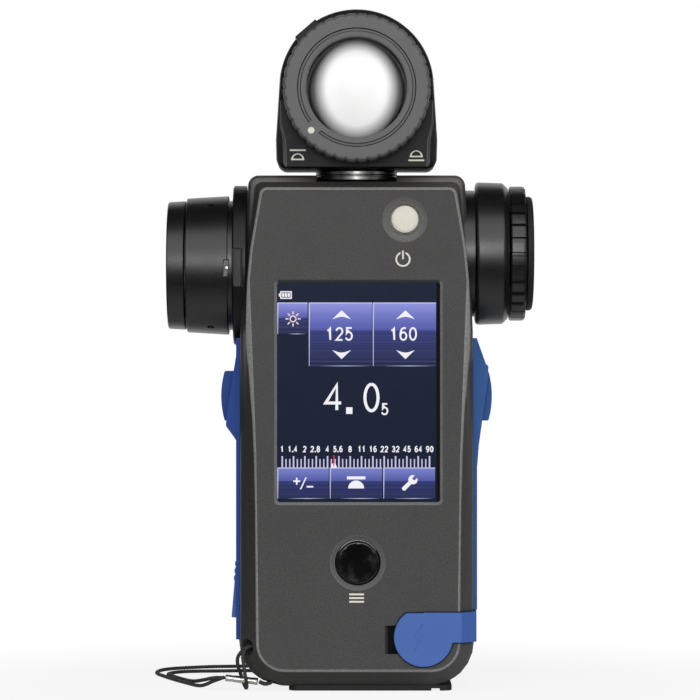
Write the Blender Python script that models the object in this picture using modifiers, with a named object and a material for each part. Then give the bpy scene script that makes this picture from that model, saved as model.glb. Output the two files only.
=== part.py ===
"""Handheld light meter: swivel head, spot finder, touch screen, side buttons and wrist strap.

Units are metres. The meter stands on its base at Z = 0, its front faces -Y and +X is to the right
of someone who looks at the screen.
"""
import bmesh
import bpy
import math
from mathutils import Matrix, Vector

for leftover in list(bpy.data.objects):
    bpy.data.objects.remove(leftover, do_unlink=True)

MM = 0.001

# Fits
GAP = 0.3 * MM
RUNNING_GAP = 0.4 * MM
THROUGH = 4.0 * MM

# Case
BODY_HALF_WIDTH = 30.1 * MM
BODY_TOP_HALF_WIDTH = BODY_HALF_WIDTH - 2.2 * MM
BODY_HEIGHT = 133.0 * MM
SHOULDER_DROP = 41.0 * MM
BASE_CORNER = 11.6 * MM
TOP_CORNER = 2.4 * MM
BASE_Z = 1.2 * MM
FRONT_Y = -17.0 * MM
BACK_Y = 18.0 * MM
SPLIT_Y = -1.0 * MM
FRONT_BEVEL = 4.6 * MM
BACK_BEVEL = 4.5 * MM
WALL = 2.2 * MM
FLOOR_Z = 11.5 * MM
FLOOR_HALF_WIDTH = BODY_HALF_WIDTH - 13.1 * MM
FLOOR_RAMP_Z = 24.0 * MM
PLATEAU_TOP_DROP = 4.1 * MM
PLATEAU_BOTTOM_Z = 5.6 * MM
PLATEAU_TOP_HALF = BODY_TOP_HALF_WIDTH - 3.8 * MM
PLATEAU_CHEST_HALF = BODY_HALF_WIDTH - 2.1 * MM
PLATEAU_WAIST_HALF = BODY_HALF_WIDTH - 4.3 * MM
PLATEAU_CORNER = 7.0 * MM
WAIST_Z = 55.0 * MM
HIP_Z = 21.0 * MM
CHEST_DROP = 22.0 * MM
SHOULDER_Z = BODY_HEIGHT - SHOULDER_DROP
CHEST_Z = BODY_HEIGHT - CHEST_DROP
PLATEAU_TOP_Z = BODY_HEIGHT - PLATEAU_TOP_DROP
TAPER = (BODY_HALF_WIDTH - BODY_TOP_HALF_WIDTH) / SHOULDER_DROP
CHEST_HALF_WIDTH = BODY_TOP_HALF_WIDTH + TAPER * CHEST_DROP

# Display
SCREEN_X = 0.5 * MM
SCREEN_DROP = 56.0 * MM
SCREEN_WIDTH = 41.8 * MM
SCREEN_HEIGHT = 56.3 * MM
SCREEN_LEDGE = 1.4 * MM
SCREEN_LIP = 0.8 * MM
SCREEN_Z = BODY_HEIGHT - SCREEN_DROP
GLASS_THICKNESS = 1.3 * MM
LCD_THICKNESS = 2.4 * MM
BOARD_THICKNESS = 1.2 * MM
BOARD_HALF_WIDTH = BODY_HALF_WIDTH - 6.6 * MM
BOARD_MARGIN = 6.0 * MM

# Front buttons
POWER_X = 12.4 * MM
POWER_DROP = 11.55 * MM
POWER_Z = BODY_HEIGHT - POWER_DROP
POWER_RADIUS = 3.55 * MM
POWER_DISH = 5.55 * MM
MENU_X = 0.3 * MM
MENU_Z = 33.3 * MM
MENU_RADIUS = 5.5 * MM
MENU_DISH = 7.15 * MM
DISH_DEPTH = 0.9 * MM
BUTTON_PROUD = 0.3 * MM
BUTTON_TRAVEL = 0.8 * MM
BUTTON_RIM = 0.8 * MM
SWITCH_RADIUS = 2.0 * MM
SWITCH_HEIGHT = 0.5 * MM

# Side grips and side buttons
GRIP_THICKNESS = 1.1 * MM
GRIP_INSET = 1.1 * MM
GRIP_FOOT_PROUD = 0.3 * MM
GRIP_STEP_Z = 13.0 * MM
GRIP_TOP_DROP = 1.0 * MM
GRIP_TOP_Z = SHOULDER_Z - GRIP_TOP_DROP
GRIP_FRONT_Y = -9.0 * MM
GRIP_BACK_Y = 11.0 * MM
GUARD_HALF_DEPTH = 7.0 * MM
GUARD_Y = 1.0 * MM
LEFT_GUARD_REACH = 2.7 * MM
RIGHT_GUARD_REACH = 2.9 * MM
SIDE_BUTTON_DROP = 15.0 * MM
SIDE_BUTTON_Z = GRIP_TOP_Z - SIDE_BUTTON_DROP
SIDE_BUTTON_HEIGHT = 12.9 * MM
SIDE_BUTTON_DEPTH = 11.0 * MM
SIDE_BUTTON_PROUD = 4.0 * MM
SIDE_BUTTON_TRAVEL = 1.2 * MM
SIDE_BUTTON_BULGE = 0.9 * MM
SIDE_STEM_RADIUS = 3.0 * MM
SIDE_STEM_LENGTH = 5.2 * MM
SIDE_SWITCH_LENGTH = 4.0 * MM
SIDE_SWITCH_HEIGHT = 6.0 * MM
GUARD_SLOPE = 4.9 * MM
GUARD_PLATE_BACK_Y = -5.0 * MM
LEFT_GUARD_PLATE = [(0.05, 3.3), (2.5, -11.9), (2.65, -14.6), (0.05, -18.2)]
RIGHT_GUARD_PLATE = [(0.05, 6.4), (0.65, 3.1), (2.95, 0.85), (2.8, -2.4), (1.45, -12.5), (0.45, -19.7),
                     (0.05, -25.0)]

# Finder
OBJECTIVE_DROP = 23.0 * MM
EYEPIECE_DROP = 19.9 * MM
OBJECTIVE_Z = BODY_HEIGHT - OBJECTIVE_DROP
EYEPIECE_Z = BODY_HEIGHT - EYEPIECE_DROP
FINDER_Y = 1.5 * MM
FLANGE_RADIUS = 20.8 * MM
FLANGE_SEAT = 0.5 * MM
FLANGE_THICKNESS = 3.5 * MM
FLANGE_FLAT = 17.0 * MM
BARREL_RADIUS = 18.1 * MM
BARREL_FRONT_RADIUS = 17.4 * MM
BARREL_LENGTH = 12.1 * MM
BARREL_GROOVE = 1.0 * MM
OBJECTIVE_RING_RADIUS = 16.6 * MM
OBJECTIVE_RING_LENGTH = 4.9 * MM
OBJECTIVE_BORE = 11.0 * MM
OBJECTIVE_HOOD = 3.4 * MM
TUBE_RADIUS = 9.0 * MM
TUBE_WALL = 1.5 * MM
PRISM_SIZE = 11.0 * MM
PRISM_X = 0.0 * MM
SENSOR_LENGTH = 4.0 * MM
SENSOR_RADIUS = 2.5 * MM
RETICLE_SETBACK = 2.5 * MM
RETICLE_THICKNESS = 1.0 * MM
LENS_EDGE = 1.6 * MM
LENS_BULGE = 1.2 * MM
NECK_RADIUS = 16.5 * MM
NECK_SEAT = 0.5 * MM
NECK_LENGTH = 2.4 * MM
COLLAR_LENGTH = 8.4 * MM
COLLAR_RADIUS = 18.45 * MM
COLLAR_CHAMFER = 1.2 * MM
DIOPTER_RADIUS = 17.5 * MM
DIOPTER_LENGTH = 4.1 * MM
DIOPTER_RIBS = 30
DIOPTER_RIB_DEPTH = 0.9 * MM
EYECUP_RADIUS = 14.9 * MM
EYECUP_LENGTH = 2.0 * MM
EYECUP_BORE = 9.5 * MM
OCULAR_RADIUS = 8.6 * MM
OCULAR_WALL = 1.2 * MM
OCULAR_TRAVEL = 1.0 * MM
FLANGE_INNER_X = -(CHEST_HALF_WIDTH - FLANGE_SEAT)
FLANGE_OUTER_X = FLANGE_INNER_X - FLANGE_THICKNESS
BARREL_FRONT_X = FLANGE_OUTER_X - BARREL_LENGTH
OBJECTIVE_FRONT_X = BARREL_FRONT_X - OBJECTIVE_RING_LENGTH
NECK_INNER_X = CHEST_HALF_WIDTH - NECK_SEAT
COLLAR_INNER_X = NECK_INNER_X + NECK_LENGTH
COLLAR_OUTER_X = COLLAR_INNER_X + COLLAR_LENGTH
DIOPTER_OUTER_X = COLLAR_OUTER_X + RUNNING_GAP + DIOPTER_LENGTH
EYECUP_OUTER_X = DIOPTER_OUTER_X + EYECUP_LENGTH

# Swivel head
HEAD_RADIUS = 19.9 * MM
HEAD_RISE = 20.2 * MM
ARCH_LIFT = 0.9 * MM
HEAD_FLARE = 21.4 * MM
HEAD_FLARE_RISE = 7.3 * MM
HEAD_FOOT_HALF_WIDTH = 20.6 * MM
HEAD_CLEARANCE = 1.7 * MM
HEAD_CORNER = 2.2 * MM
HEAD_FRONT_Y = -15.5 * MM
HEAD_BACK_Y = 13.0 * MM
HEAD_SPLIT_Y = -3.0 * MM
HEAD_BEVEL = 2.0 * MM
HEAD_WALL = 2.0 * MM
SWIVEL_RADIUS = 8.5 * MM
SWIVEL_WALL = 1.5 * MM
SWIVEL_DEPTH = 5.5 * MM
SWIVEL_FLANGE = 1.5 * MM
SWIVEL_RISE = 4.5 * MM
COLLAR_SWIVEL_RADIUS = 10.6 * MM
COLLAR_SINK = 1.2 * MM
SPHERE_RADIUS = 12.3 * MM
SPHERE_WALL = 1.2 * MM
SPHERE_FLANGE_THICKNESS = 1.2 * MM
SPHERE_TIP_Y = -22.6 * MM
SPHERE_TRAVEL = 8.5 * MM
SPHERE_FLANGE = SPHERE_RADIUS + 2.3 * MM
SENSOR_BOARD_THICKNESS = 1.6 * MM
SENSOR_BOARD_HALF = 11.0 * MM
LIGHT_SENSOR_RADIUS = 4.0 * MM
RING_RADIUS = 18.9 * MM
RING_BORE = SPHERE_RADIUS + 0.5 * MM
RING_FRONT_Y = -24.0 * MM
RING_SCALLOPS = 40
RING_SCALLOP_DEPTH = 0.35 * MM
TAB_ANGLE = math.radians(131.0)
TAB_LENGTH = 6.9 * MM
TAB_PROUD = 1.2 * MM
HEAD_BOTTOM_Z = BODY_HEIGHT + HEAD_CLEARANCE
HEAD_FLARE_Z = HEAD_BOTTOM_Z + HEAD_FLARE_RISE
HEAD_Z = HEAD_BOTTOM_Z + HEAD_RISE

# Cells and what is on the back
CELL_RADIUS = 7.25 * MM
CELL_LENGTH = 50.5 * MM
CELL_SPACING = 2 * CELL_RADIUS + 1.1 * MM
CONTACT_THICKNESS = 0.5 * MM
LID_HALF_WIDTH = 19.7 * MM
LID_THICKNESS = 2.0 * MM
LID_CLEARANCE = 0.75 * MM
CELL_Y = BACK_Y - LID_THICKNESS - LID_CLEARANCE - CELL_RADIUS
LID_MARGIN = 2.5 * MM
TRAY_WALL = 1.0 * MM
LATCH_WIDTH = 10.0 * MM
LATCH_HEIGHT = 5.0 * MM
LATCH_PROUD = 0.8 * MM
LATCH_RECESS = 1.0 * MM
LATCH_TRAVEL = 3.0 * MM
LATCH_DROP = 3.0 * MM
CELL_LOW_Z = FLOOR_Z + GAP + TRAY_WALL + GAP + CONTACT_THICKNESS + GAP
CELL_HIGH_Z = CELL_LOW_Z + CELL_LENGTH
TRAY_TOP_Z = CELL_HIGH_Z + GAP + CONTACT_THICKNESS + GAP + TRAY_WALL
LID_LOW_Z = FLOOR_Z + LID_MARGIN
LID_HIGH_Z = TRAY_TOP_Z
RADIO_HALF_WIDTH = 13.0 * MM
RADIO_HEIGHT = 16.0 * MM
RADIO_DEPTH = 5.0 * MM
RADIO_ABOVE_LID = 4.0 * MM
RADIO_LOW_Z = LID_HIGH_Z + RADIO_ABOVE_LID
SCREW_X = 20.0 * MM
SCREW_LOW_Z = 10.0 * MM
SCREW_TOP_DROP = 7.0 * MM
SCREW_HEAD = 1.6 * MM
SCREW_HEAD_LENGTH = 1.3 * MM
SCREW_SHANK = 0.8 * MM
SCREW_LENGTH = 14.0 * MM
POST_RADIUS = 3.0 * MM

# Base
PAD_LEFT_X = 12.6 * MM - BODY_HALF_WIDTH
PAD_RIGHT_X = BODY_HALF_WIDTH - 5.5 * MM
PAD_FRONT_Y = -12.0 * MM
PAD_BACK_Y = 13.0 * MM
PAD_THICKNESS = 1.5 * MM
GRIP_END_X = PAD_RIGHT_X + 2 * GAP
BUSH_X = 9.0 * MM
BUSH_Y = 2.0 * MM
BUSH_RADIUS = 5.0 * MM
BUSH_BORE = 3.175 * MM
BUSH_DEPTH = 8.5 * MM
BUSH_END = 1.2 * MM
BUSH_RISE = 0.4 * MM

# Covers of the sockets
SYNC_X = BODY_HALF_WIDTH - 12.95 * MM
SYNC_Z = 14.15 * MM
SYNC_COVER_RADIUS = 7.6 * MM
SYNC_FOOT_Z = 6.5 * MM
SYNC_FLAT_Z = 20.35 * MM
SYNC_ARM_LOW_Z = 12.75 * MM
SYNC_ARM_HIGH_Z = 20.5 * MM
SYNC_THICKNESS = 1.2 * MM
SYNC_PROUD = 0.8 * MM
SYNC_RECESS = SYNC_THICKNESS - SYNC_PROUD
SYNC_HINGE_Y = -4.0 * MM
SYNC_SOCKET_RADIUS = 3.6 * MM
SYNC_SOCKET_BORE = 2.1 * MM
SYNC_SOCKET_DEPTH = 6.0 * MM
USB_LOW_Z = 18.4 * MM
USB_HIGH_Z = 33.6 * MM
USB_COVER_DEPTH = 12.0 * MM
USB_LIP = 1.3 * MM
USB_SOCKET_WIDTH = 8.0 * MM
USB_SOCKET_HEIGHT = 4.0 * MM
USB_SOCKET_DEPTH = 5.0 * MM
USB_Y = 1.0 * MM
USB_Z = (USB_LOW_Z + USB_HIGH_Z) / 2

# Wrist strap
CORD_RADIUS = 0.5 * MM
EYELET_RADIUS = 2.1 * MM
STRAP_Y = -11.0 * MM
STRAND_SPREAD = 0.7 * MM
CASE_LEFT_X = -BODY_HALF_WIDTH
CRIMP_LEFT_X = CASE_LEFT_X - 3.8 * MM
CRIMP_RIGHT_X = CASE_LEFT_X + 4.6 * MM
CRIMP_LEFT_Z = 3.3 * MM
CRIMP_RIGHT_Z = 2.3 * MM
CRIMP_RADIUS = 0.9 * MM
CRIMP_STRETCH = 1.45
CORD_STEP = 2.5 * MM
COIL_X = -4.0 * MM
COIL_Y = 50.0 * MM
COIL_INNER = 3.4 * MM
COIL_PITCH = 1.5 * MM
COIL_LAYER = 1.5 * MM
COIL_TURNS = 2.5
COIL_STEPS = 24
CORD_Z = 0.55 * MM
COIL_Z = 0.8 * MM
COIL_SWEEP = 2 * math.pi * (2 * COIL_TURNS + 0.5)
COIL_OUTER = COIL_INNER + COIL_PITCH * COIL_SWEEP / (4 * math.pi)
COIL_LEAD = 1.0 * MM

parts = bpy.data.collections.new("light_meter")
cutters = bpy.data.collections.new("cutters")
bpy.context.scene.collection.children.link(parts)
bpy.context.scene.collection.children.link(cutters)


def finish(name, colour, roughness, metallic=0.0):
    material = bpy.data.materials.new(name)
    material.use_nodes = True
    shader = material.node_tree.nodes["Principled BSDF"]
    shader.inputs["Base Color"].default_value = (*colour, 1.0)
    shader.inputs["Roughness"].default_value = roughness
    shader.inputs["Metallic"].default_value = metallic
    return material


CASE_GREY = finish("case_grey", (0.09, 0.09, 0.085), 0.55)
SATIN_BLACK = finish("satin_black", (0.02, 0.02, 0.021), 0.4)
GLOSS_BLACK = finish("gloss_black", (0.004, 0.004, 0.005), 0.12)
RING_GREY = finish("ring_grey", (0.11, 0.11, 0.11), 0.5)
BLUE_RUBBER = finish("blue_rubber", (0.055, 0.15, 0.44), 0.6)
IVORY = finish("ivory", (0.72, 0.69, 0.59), 0.4)
WHITE_DOME = finish("white_dome", (0.9, 0.9, 0.9), 0.5)
DARK_GLASS = finish("dark_glass", (0.012, 0.018, 0.045), 0.08)
CLEAR_GLASS = finish("clear_glass", (0.8, 0.85, 0.9), 0.03)
CIRCUIT_GREEN = finish("circuit_green", (0.02, 0.12, 0.05), 0.5)
NICKEL = finish("nickel", (0.62, 0.6, 0.57), 0.25, 1.0)
BRASS = finish("brass", (0.7, 0.5, 0.22), 0.3, 1.0)
CELL_SLEEVE = finish("cell_sleeve", (0.16, 0.17, 0.18), 0.35)
CORD_GREY = finish("cord_grey", (0.045, 0.042, 0.045), 0.8)


def add_part(thing, material, smooth=False):
    thing.data.materials.clear()
    thing.data.materials.append(material)
    if smooth and thing.type == "MESH":
        thing.data.shade_smooth()
        thing.data.set_sharp_from_angle(angle=math.radians(35.0))
    parts.objects.link(thing)
    return thing


def hide_cutter(tool):
    cutters.objects.link(tool)
    tool.hide_render = True
    tool.display_type = "WIRE"


def combine(target, tool, operation):
    if tool.name not in cutters.objects:
        hide_cutter(tool)
    modifier = target.modifiers.new(tool.name, "BOOLEAN")
    modifier.operation = operation
    modifier.object = tool
    modifier.solver = "EXACT"


def cut(target, *tools):
    for tool in tools:
        combine(target, tool, "DIFFERENCE")


def join(target, *tools):
    for tool in tools:
        combine(target, tool, "UNION")


def keep(target, tool):
    combine(target, tool, "INTERSECT")


def axis_empty(name, place):
    empty = bpy.data.objects.new(name, None)
    empty.location = place
    parts.objects.link(empty)
    return empty


def hang_on(empty, *things):
    for thing in things:
        thing.parent = empty
        thing.matrix_parent_inverse = Matrix.Translation(empty.location).inverted()


def from_bmesh(name, shape):
    bmesh.ops.recalc_face_normals(shape, faces=shape.faces)
    mesh = bpy.data.meshes.new(name)
    shape.to_mesh(mesh)
    shape.free()
    return bpy.data.objects.new(name, mesh)


def box(name, low, high):
    low, high = Vector(low), Vector(high)
    shape = bmesh.new()
    size = Matrix.Diagonal((*(high - low), 1.0))
    bmesh.ops.create_cube(shape, size=1.0, matrix=Matrix.Translation((low + high) / 2) @ size)
    return from_bmesh(name, shape)


def turn_to(direction):
    return Vector((0.0, 0.0, 1.0)).rotation_difference(Vector(direction)).to_matrix().to_4x4()


def rod(name, start, direction, length, radius, end_radius=None, sides=24):
    end_radius = radius if end_radius is None else end_radius
    shape = bmesh.new()
    place = Matrix.Translation(start) @ turn_to(direction) @ Matrix.Translation((0, 0, length / 2))
    bmesh.ops.create_cone(shape, cap_ends=True, segments=sides, radius1=radius, radius2=end_radius,
                          depth=length, matrix=place)
    return from_bmesh(name, shape)


def turned(name, profile, start, direction, steps=36, closed=True):
    """A profile of (radius, height) pairs, read down its outer side, spun about the direction."""
    mesh = bpy.data.meshes.new(name)
    count = len(profile)
    edges = [(i, i + 1) for i in range(count - 1)]
    if closed:
        edges.append((count - 1, 0))
    mesh.from_pydata([(radius, 0.0, height) for radius, height in profile], edges, [])
    thing = bpy.data.objects.new(name, mesh)
    thing.matrix_world = Matrix.Translation(start) @ turn_to(direction)
    screw = thing.modifiers.new("turn", "SCREW")
    screw.steps = steps
    screw.render_steps = steps
    screw.use_merge_vertices = True
    screw.merge_threshold = 0.00001
    screw.use_smooth_shade = False
    return thing


def to_mesh(curve_object):
    """A curve object made into a closed mesh, with its caps welded on."""
    scene_collection = bpy.context.scene.collection
    scene_collection.objects.link(curve_object)
    bpy.context.view_layer.update()
    depsgraph = bpy.context.evaluated_depsgraph_get()
    mesh = bpy.data.meshes.new_from_object(curve_object.evaluated_get(depsgraph))
    shape = bmesh.new()
    shape.from_mesh(mesh)
    bmesh.ops.remove_doubles(shape, verts=shape.verts, dist=0.000001)
    bmesh.ops.recalc_face_normals(shape, faces=shape.faces)
    shape.to_mesh(mesh)
    shape.free()
    thing = bpy.data.objects.new(curve_object.name + "_mesh", mesh)
    thing.matrix_world = curve_object.matrix_world.copy()
    name = curve_object.name
    curve = curve_object.data
    bpy.data.objects.remove(curve_object, do_unlink=True)
    bpy.data.curves.remove(curve)
    thing.name = name
    return thing


def plate(name, loops, start, direction, thickness):
    """Flat outline, with any holes, extruded from its start along the direction."""
    curve = bpy.data.curves.new(name, "CURVE")
    curve.dimensions = "2D"
    curve.fill_mode = "BOTH"
    curve.extrude = thickness / 2
    for loop in loops:
        spline = curve.splines.new("POLY")
        spline.points.add(len(loop) - 1)
        for point, (across, along) in zip(spline.points, loop):
            point.co = (across, along, 0.0, 1.0)
        spline.use_cyclic_u = True
    thing = bpy.data.objects.new(name, curve)
    middle = Matrix.Translation((0.0, 0.0, thickness / 2))
    thing.matrix_world = Matrix.Translation(start) @ turn_to(direction) @ middle
    return to_mesh(thing)


def front_plate(name, loops, front, back):
    return plate(name, loops, (0.0, back, 0.0), (0.0, -1.0, 0.0), back - front)


def tube(name, points, radius, resolution=2):
    curve = bpy.data.curves.new(name, "CURVE")
    curve.dimensions = "3D"
    curve.bevel_depth = radius
    curve.bevel_resolution = resolution
    curve.use_fill_caps = True
    spline = curve.splines.new("POLY")
    spline.points.add(len(points) - 1)
    for point, place in zip(spline.points, points):
        point.co = (*place, 1.0)
    return to_mesh(bpy.data.objects.new(name, curve))


def loft(name, sections):
    """Sections of (depth, outline) with as many points each, skinned front to back."""
    shape = bmesh.new()
    rings = [[shape.verts.new((x, depth, z)) for x, z in outline] for depth, outline in sections]
    for ring, following in zip(rings, rings[1:]):
        for i in range(len(ring)):
            j = (i + 1) % len(ring)
            shape.faces.new((ring[i], ring[j], following[j], following[i]))
    shape.faces.new(rings[0])
    shape.faces.new(rings[-1])
    return from_bmesh(name, shape)


def circle(radius, count, centre=(0.0, 0.0)):
    turns = [2 * math.pi * i / count for i in range(count)]
    return [(centre[0] + radius * math.cos(a), centre[1] + radius * math.sin(a)) for a in turns]


def rounded(corners, steps=6):
    """Outline through (x, z, radius) corners, each drawn as an arc where it has a radius."""
    outline = []
    for i, (x, z, radius) in enumerate(corners):
        here = Vector((x, z))
        if radius <= 0.0:
            outline.append((x, z))
            continue
        before = (Vector(corners[i - 1][:2]) - here).normalized()
        after = (Vector(corners[(i + 1) % len(corners)][:2]) - here).normalized()
        half = before.angle(after) / 2
        centre = here + (before + after).normalized() * (radius / math.sin(half))
        start = here + before * (radius / math.tan(half)) - centre
        finish_angle = -(math.pi - 2 * half) * math.copysign(1.0, before.cross(after))
        for k in range(steps + 1):
            spoke = Matrix.Rotation(finish_angle * k / steps, 2) @ start
            outline.append(tuple(centre + spoke))
    return outline


def mirrored(right_half):
    """A right half read from the bottom up, closed by its mirror image on the left."""
    return right_half + [(-x, z, radius) for x, z, radius in reversed(right_half)]


def toothed(radius, depth, count, share=0.6):
    """A round outline with evenly spaced slots of the given depth."""
    outline = []
    pitch = 2 * math.pi / count
    for i in range(count):
        for offset, reach in ((0.0, radius), (share, radius), (share + 0.1, radius - depth),
                              (0.9, radius - depth)):
            angle = (i + offset) * pitch
            outline.append((reach * math.cos(angle), reach * math.sin(angle)))
    return outline


def smooth_route(route, step):
    """Evenly spaced points on a smooth curve through the points of a route."""
    places = [Vector(place) for place in route]
    places = [2 * places[0] - places[1]] + places + [2 * places[-1] - places[-2]]
    fine = []
    for before, start, end, after in zip(places, places[1:], places[2:], places[3:]):
        for k in range(40):
            t = k / 40
            square = 2 * before - 5 * start + 4 * end - after
            cube = 3 * start - before - 3 * end + after
            fine.append(0.5 * (2 * start + (end - before) * t + square * t ** 2 + cube * t ** 3))
    fine.append(places[-2])
    lengths = [0.0]
    for here, there in zip(fine, fine[1:]):
        lengths.append(lengths[-1] + (there - here).length)
    count = max(2, round(lengths[-1] / step))
    points = []
    i = 0
    for k in range(count + 1):
        reach = lengths[-1] * k / count
        while i < len(fine) - 2 and lengths[i + 1] < reach:
            i += 1
        share = (reach - lengths[i]) / (lengths[i + 1] - lengths[i])
        points.append(fine[i].lerp(fine[i + 1], share))
    return points


# Way of the strap through the lower left corner, from under the base to the front bevel
EYELET_ROUTE = [
    (CASE_LEFT_X + 7.90 * MM, -11.00 * MM, -2.50 * MM),
    (CASE_LEFT_X + 8.60 * MM, -11.30 * MM, 4.20 * MM),
    (CASE_LEFT_X + 7.80 * MM, -11.90 * MM, 8.20 * MM),
    (CASE_LEFT_X + 5.20 * MM, -12.90 * MM, 11.30 * MM),
    (CASE_LEFT_X + 2.10 * MM, -14.20 * MM, 11.50 * MM),
    (CASE_LEFT_X - 0.20 * MM, -15.30 * MM, 9.00 * MM),
    (CASE_LEFT_X - 0.90 * MM, -15.90 * MM, 5.00 * MM),
]


def case_outline(inset=0.0):
    half = [
        (BODY_HALF_WIDTH - inset, BASE_Z + inset, BASE_CORNER - inset),
        (BODY_HALF_WIDTH - inset, HIP_Z, 0.0),
        (BODY_HALF_WIDTH - inset, WAIST_Z, 0.0),
        (BODY_HALF_WIDTH - inset, SHOULDER_Z, 0.0),
        (CHEST_HALF_WIDTH - inset, CHEST_Z, 0.0),
        (BODY_TOP_HALF_WIDTH - inset, BODY_HEIGHT - inset, max(TOP_CORNER - inset, GAP)),
    ]
    return rounded(mirrored(half))


def plateau_outline():
    half = [
        (PLATEAU_WAIST_HALF, PLATEAU_BOTTOM_Z, PLATEAU_CORNER),
        (PLATEAU_WAIST_HALF, HIP_Z, 0.0),
        (PLATEAU_WAIST_HALF, WAIST_Z, 0.0),
        (PLATEAU_CHEST_HALF, SHOULDER_Z, 0.0),
        (PLATEAU_CHEST_HALF, CHEST_Z, 0.0),
        (PLATEAU_TOP_HALF, PLATEAU_TOP_Z, TOP_CORNER),
    ]
    return rounded(mirrored(half))


def cavity_outline(inset, top_z):
    """Room inside the case, with solid lower corners for the strap eyelet and the screws."""
    side = BODY_HALF_WIDTH - GRIP_INSET - WALL - inset
    half = [
        (FLOOR_HALF_WIDTH - inset, FLOOR_Z + inset, 0.0),
        (side, FLOOR_RAMP_Z, 0.0),
        (side, min(SHOULDER_Z, top_z), 0.0),
    ]
    if top_z > SHOULDER_Z:
        half.append((BODY_TOP_HALF_WIDTH - WALL - inset, top_z, 0.0))
    return rounded(mirrored(half))


def grip_ring(name, inset, reach, clearance):
    """Band round the case, from inside its sides to the given reach outside them."""
    band = front_plate(name, [case_outline(-reach)], GRIP_FRONT_Y - clearance, GRIP_BACK_Y + clearance)
    core = front_plate(name + "_core", [case_outline(inset)], GRIP_FRONT_Y - THROUGH, GRIP_BACK_Y + THROUGH)
    cut(band, core)
    return band


def keep_side(band, side, clearance):
    """Only the part of a band on one side, below the grip's top and outside the base."""
    near = GRIP_END_X - clearance
    far = BODY_HALF_WIDTH + THROUGH
    low = (min(side * near, side * far), GRIP_FRONT_Y - THROUGH, -THROUGH)
    high = (max(side * near, side * far), GRIP_BACK_Y + THROUGH, GRIP_TOP_Z + clearance)
    keep(band, box(band.name + "_limit", low, high))
    return band


def recess_grips(shell, label):
    for side, word in ((-1, "left"), (1, "right")):
        band = grip_ring(f"{label}_{word}_recess", GRIP_INSET + GAP, THROUGH, GAP)
        cut(shell, keep_side(band, side, GAP))


def screw_places():
    top = BODY_HEIGHT - SCREW_TOP_DROP
    return [(side * SCREW_X, z) for z in (SCREW_LOW_Z, top) for side in (-1, 1)]


SCREW_SEAT_Y = BACK_Y - GAP - SCREW_HEAD_LENGTH - GAP
SCREW_TIP_Y = BACK_Y - GAP - SCREW_LENGTH


def usb_box(name, clearance):
    """The USB socket, let into the left wall of the case."""
    wall = -(BODY_HALF_WIDTH - GRIP_INSET)
    half = USB_SOCKET_WIDTH / 2 + clearance
    tall = USB_SOCKET_HEIGHT / 2 + clearance
    low = (wall - clearance, USB_Y - half, USB_Z - tall)
    return box(name, low, (wall + USB_SOCKET_DEPTH + clearance, USB_Y + half, USB_Z + tall))


def flange_room(name):
    """Space that the objective flange takes in the left side of the case and its grip."""
    start = (FLANGE_INNER_X + GAP, FINDER_Y, OBJECTIVE_Z)
    return rod(name, start, (-1, 0, 0), FLANGE_THICKNESS + THROUGH, FLANGE_RADIUS + GAP, sides=40)


def case_openings(shell, label):
    """Holes that both halves of the case share, cut across the line where they meet."""
    swivel_z = BODY_HEIGHT - WALL - THROUGH
    eyepiece_depth = CHEST_HALF_WIDTH - NECK_SEAT - GAP
    collar_z = BODY_HEIGHT - COLLAR_SINK - GAP
    cut(
        shell,
        rod(f"{label}_swivel_hole", (0, 0, swivel_z), (0, 0, 1), 2 * THROUGH + WALL,
            SWIVEL_RADIUS + RUNNING_GAP),
        rod(f"{label}_collar_seat", (0, 0, collar_z), (0, 0, 1), THROUGH, COLLAR_SWIVEL_RADIUS + GAP,
            sides=32),
        flange_room(f"{label}_flange_seat"),
        rod(f"{label}_objective_hole", (-TUBE_RADIUS, FINDER_Y, OBJECTIVE_Z), (-1, 0, 0), BODY_HALF_WIDTH,
            TUBE_RADIUS + GAP, sides=32),
        rod(f"{label}_neck_seat", (eyepiece_depth, FINDER_Y, EYEPIECE_Z), (1, 0, 0), NECK_LENGTH + THROUGH,
            NECK_RADIUS + GAP, sides=40),
        rod(f"{label}_eyepiece_hole", (TUBE_RADIUS, FINDER_Y, EYEPIECE_Z), (1, 0, 0), BODY_HALF_WIDTH,
            TUBE_RADIUS + GAP, sides=32),
        box(f"{label}_pad_seat", (PAD_LEFT_X - GAP, PAD_FRONT_Y - GAP, -THROUGH),
            (PAD_RIGHT_X + GAP, PAD_BACK_Y + GAP, PAD_THICKNESS + GAP)),
        rod(f"{label}_bush_hole", (BUSH_X, BUSH_Y, 0), (0, 0, 1), BUSH_DEPTH + BUSH_RISE + GAP,
            BUSH_RADIUS + GAP),
    )
    cut(shell, usb_box(f"{label}_usb_hole", GAP))
    for side, word in ((-1, "left"), (1, "right")):
        stem = SIDE_STEM_RADIUS + RUNNING_GAP
        cut(shell, rod(f"{label}_{word}_button_hole",
                       (side * (BODY_HALF_WIDTH + THROUGH), GUARD_Y, SIDE_BUTTON_Z),
                       (-side, 0, 0), GRIP_INSET + WALL + 2 * THROUGH, stem, sides=24))


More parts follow.
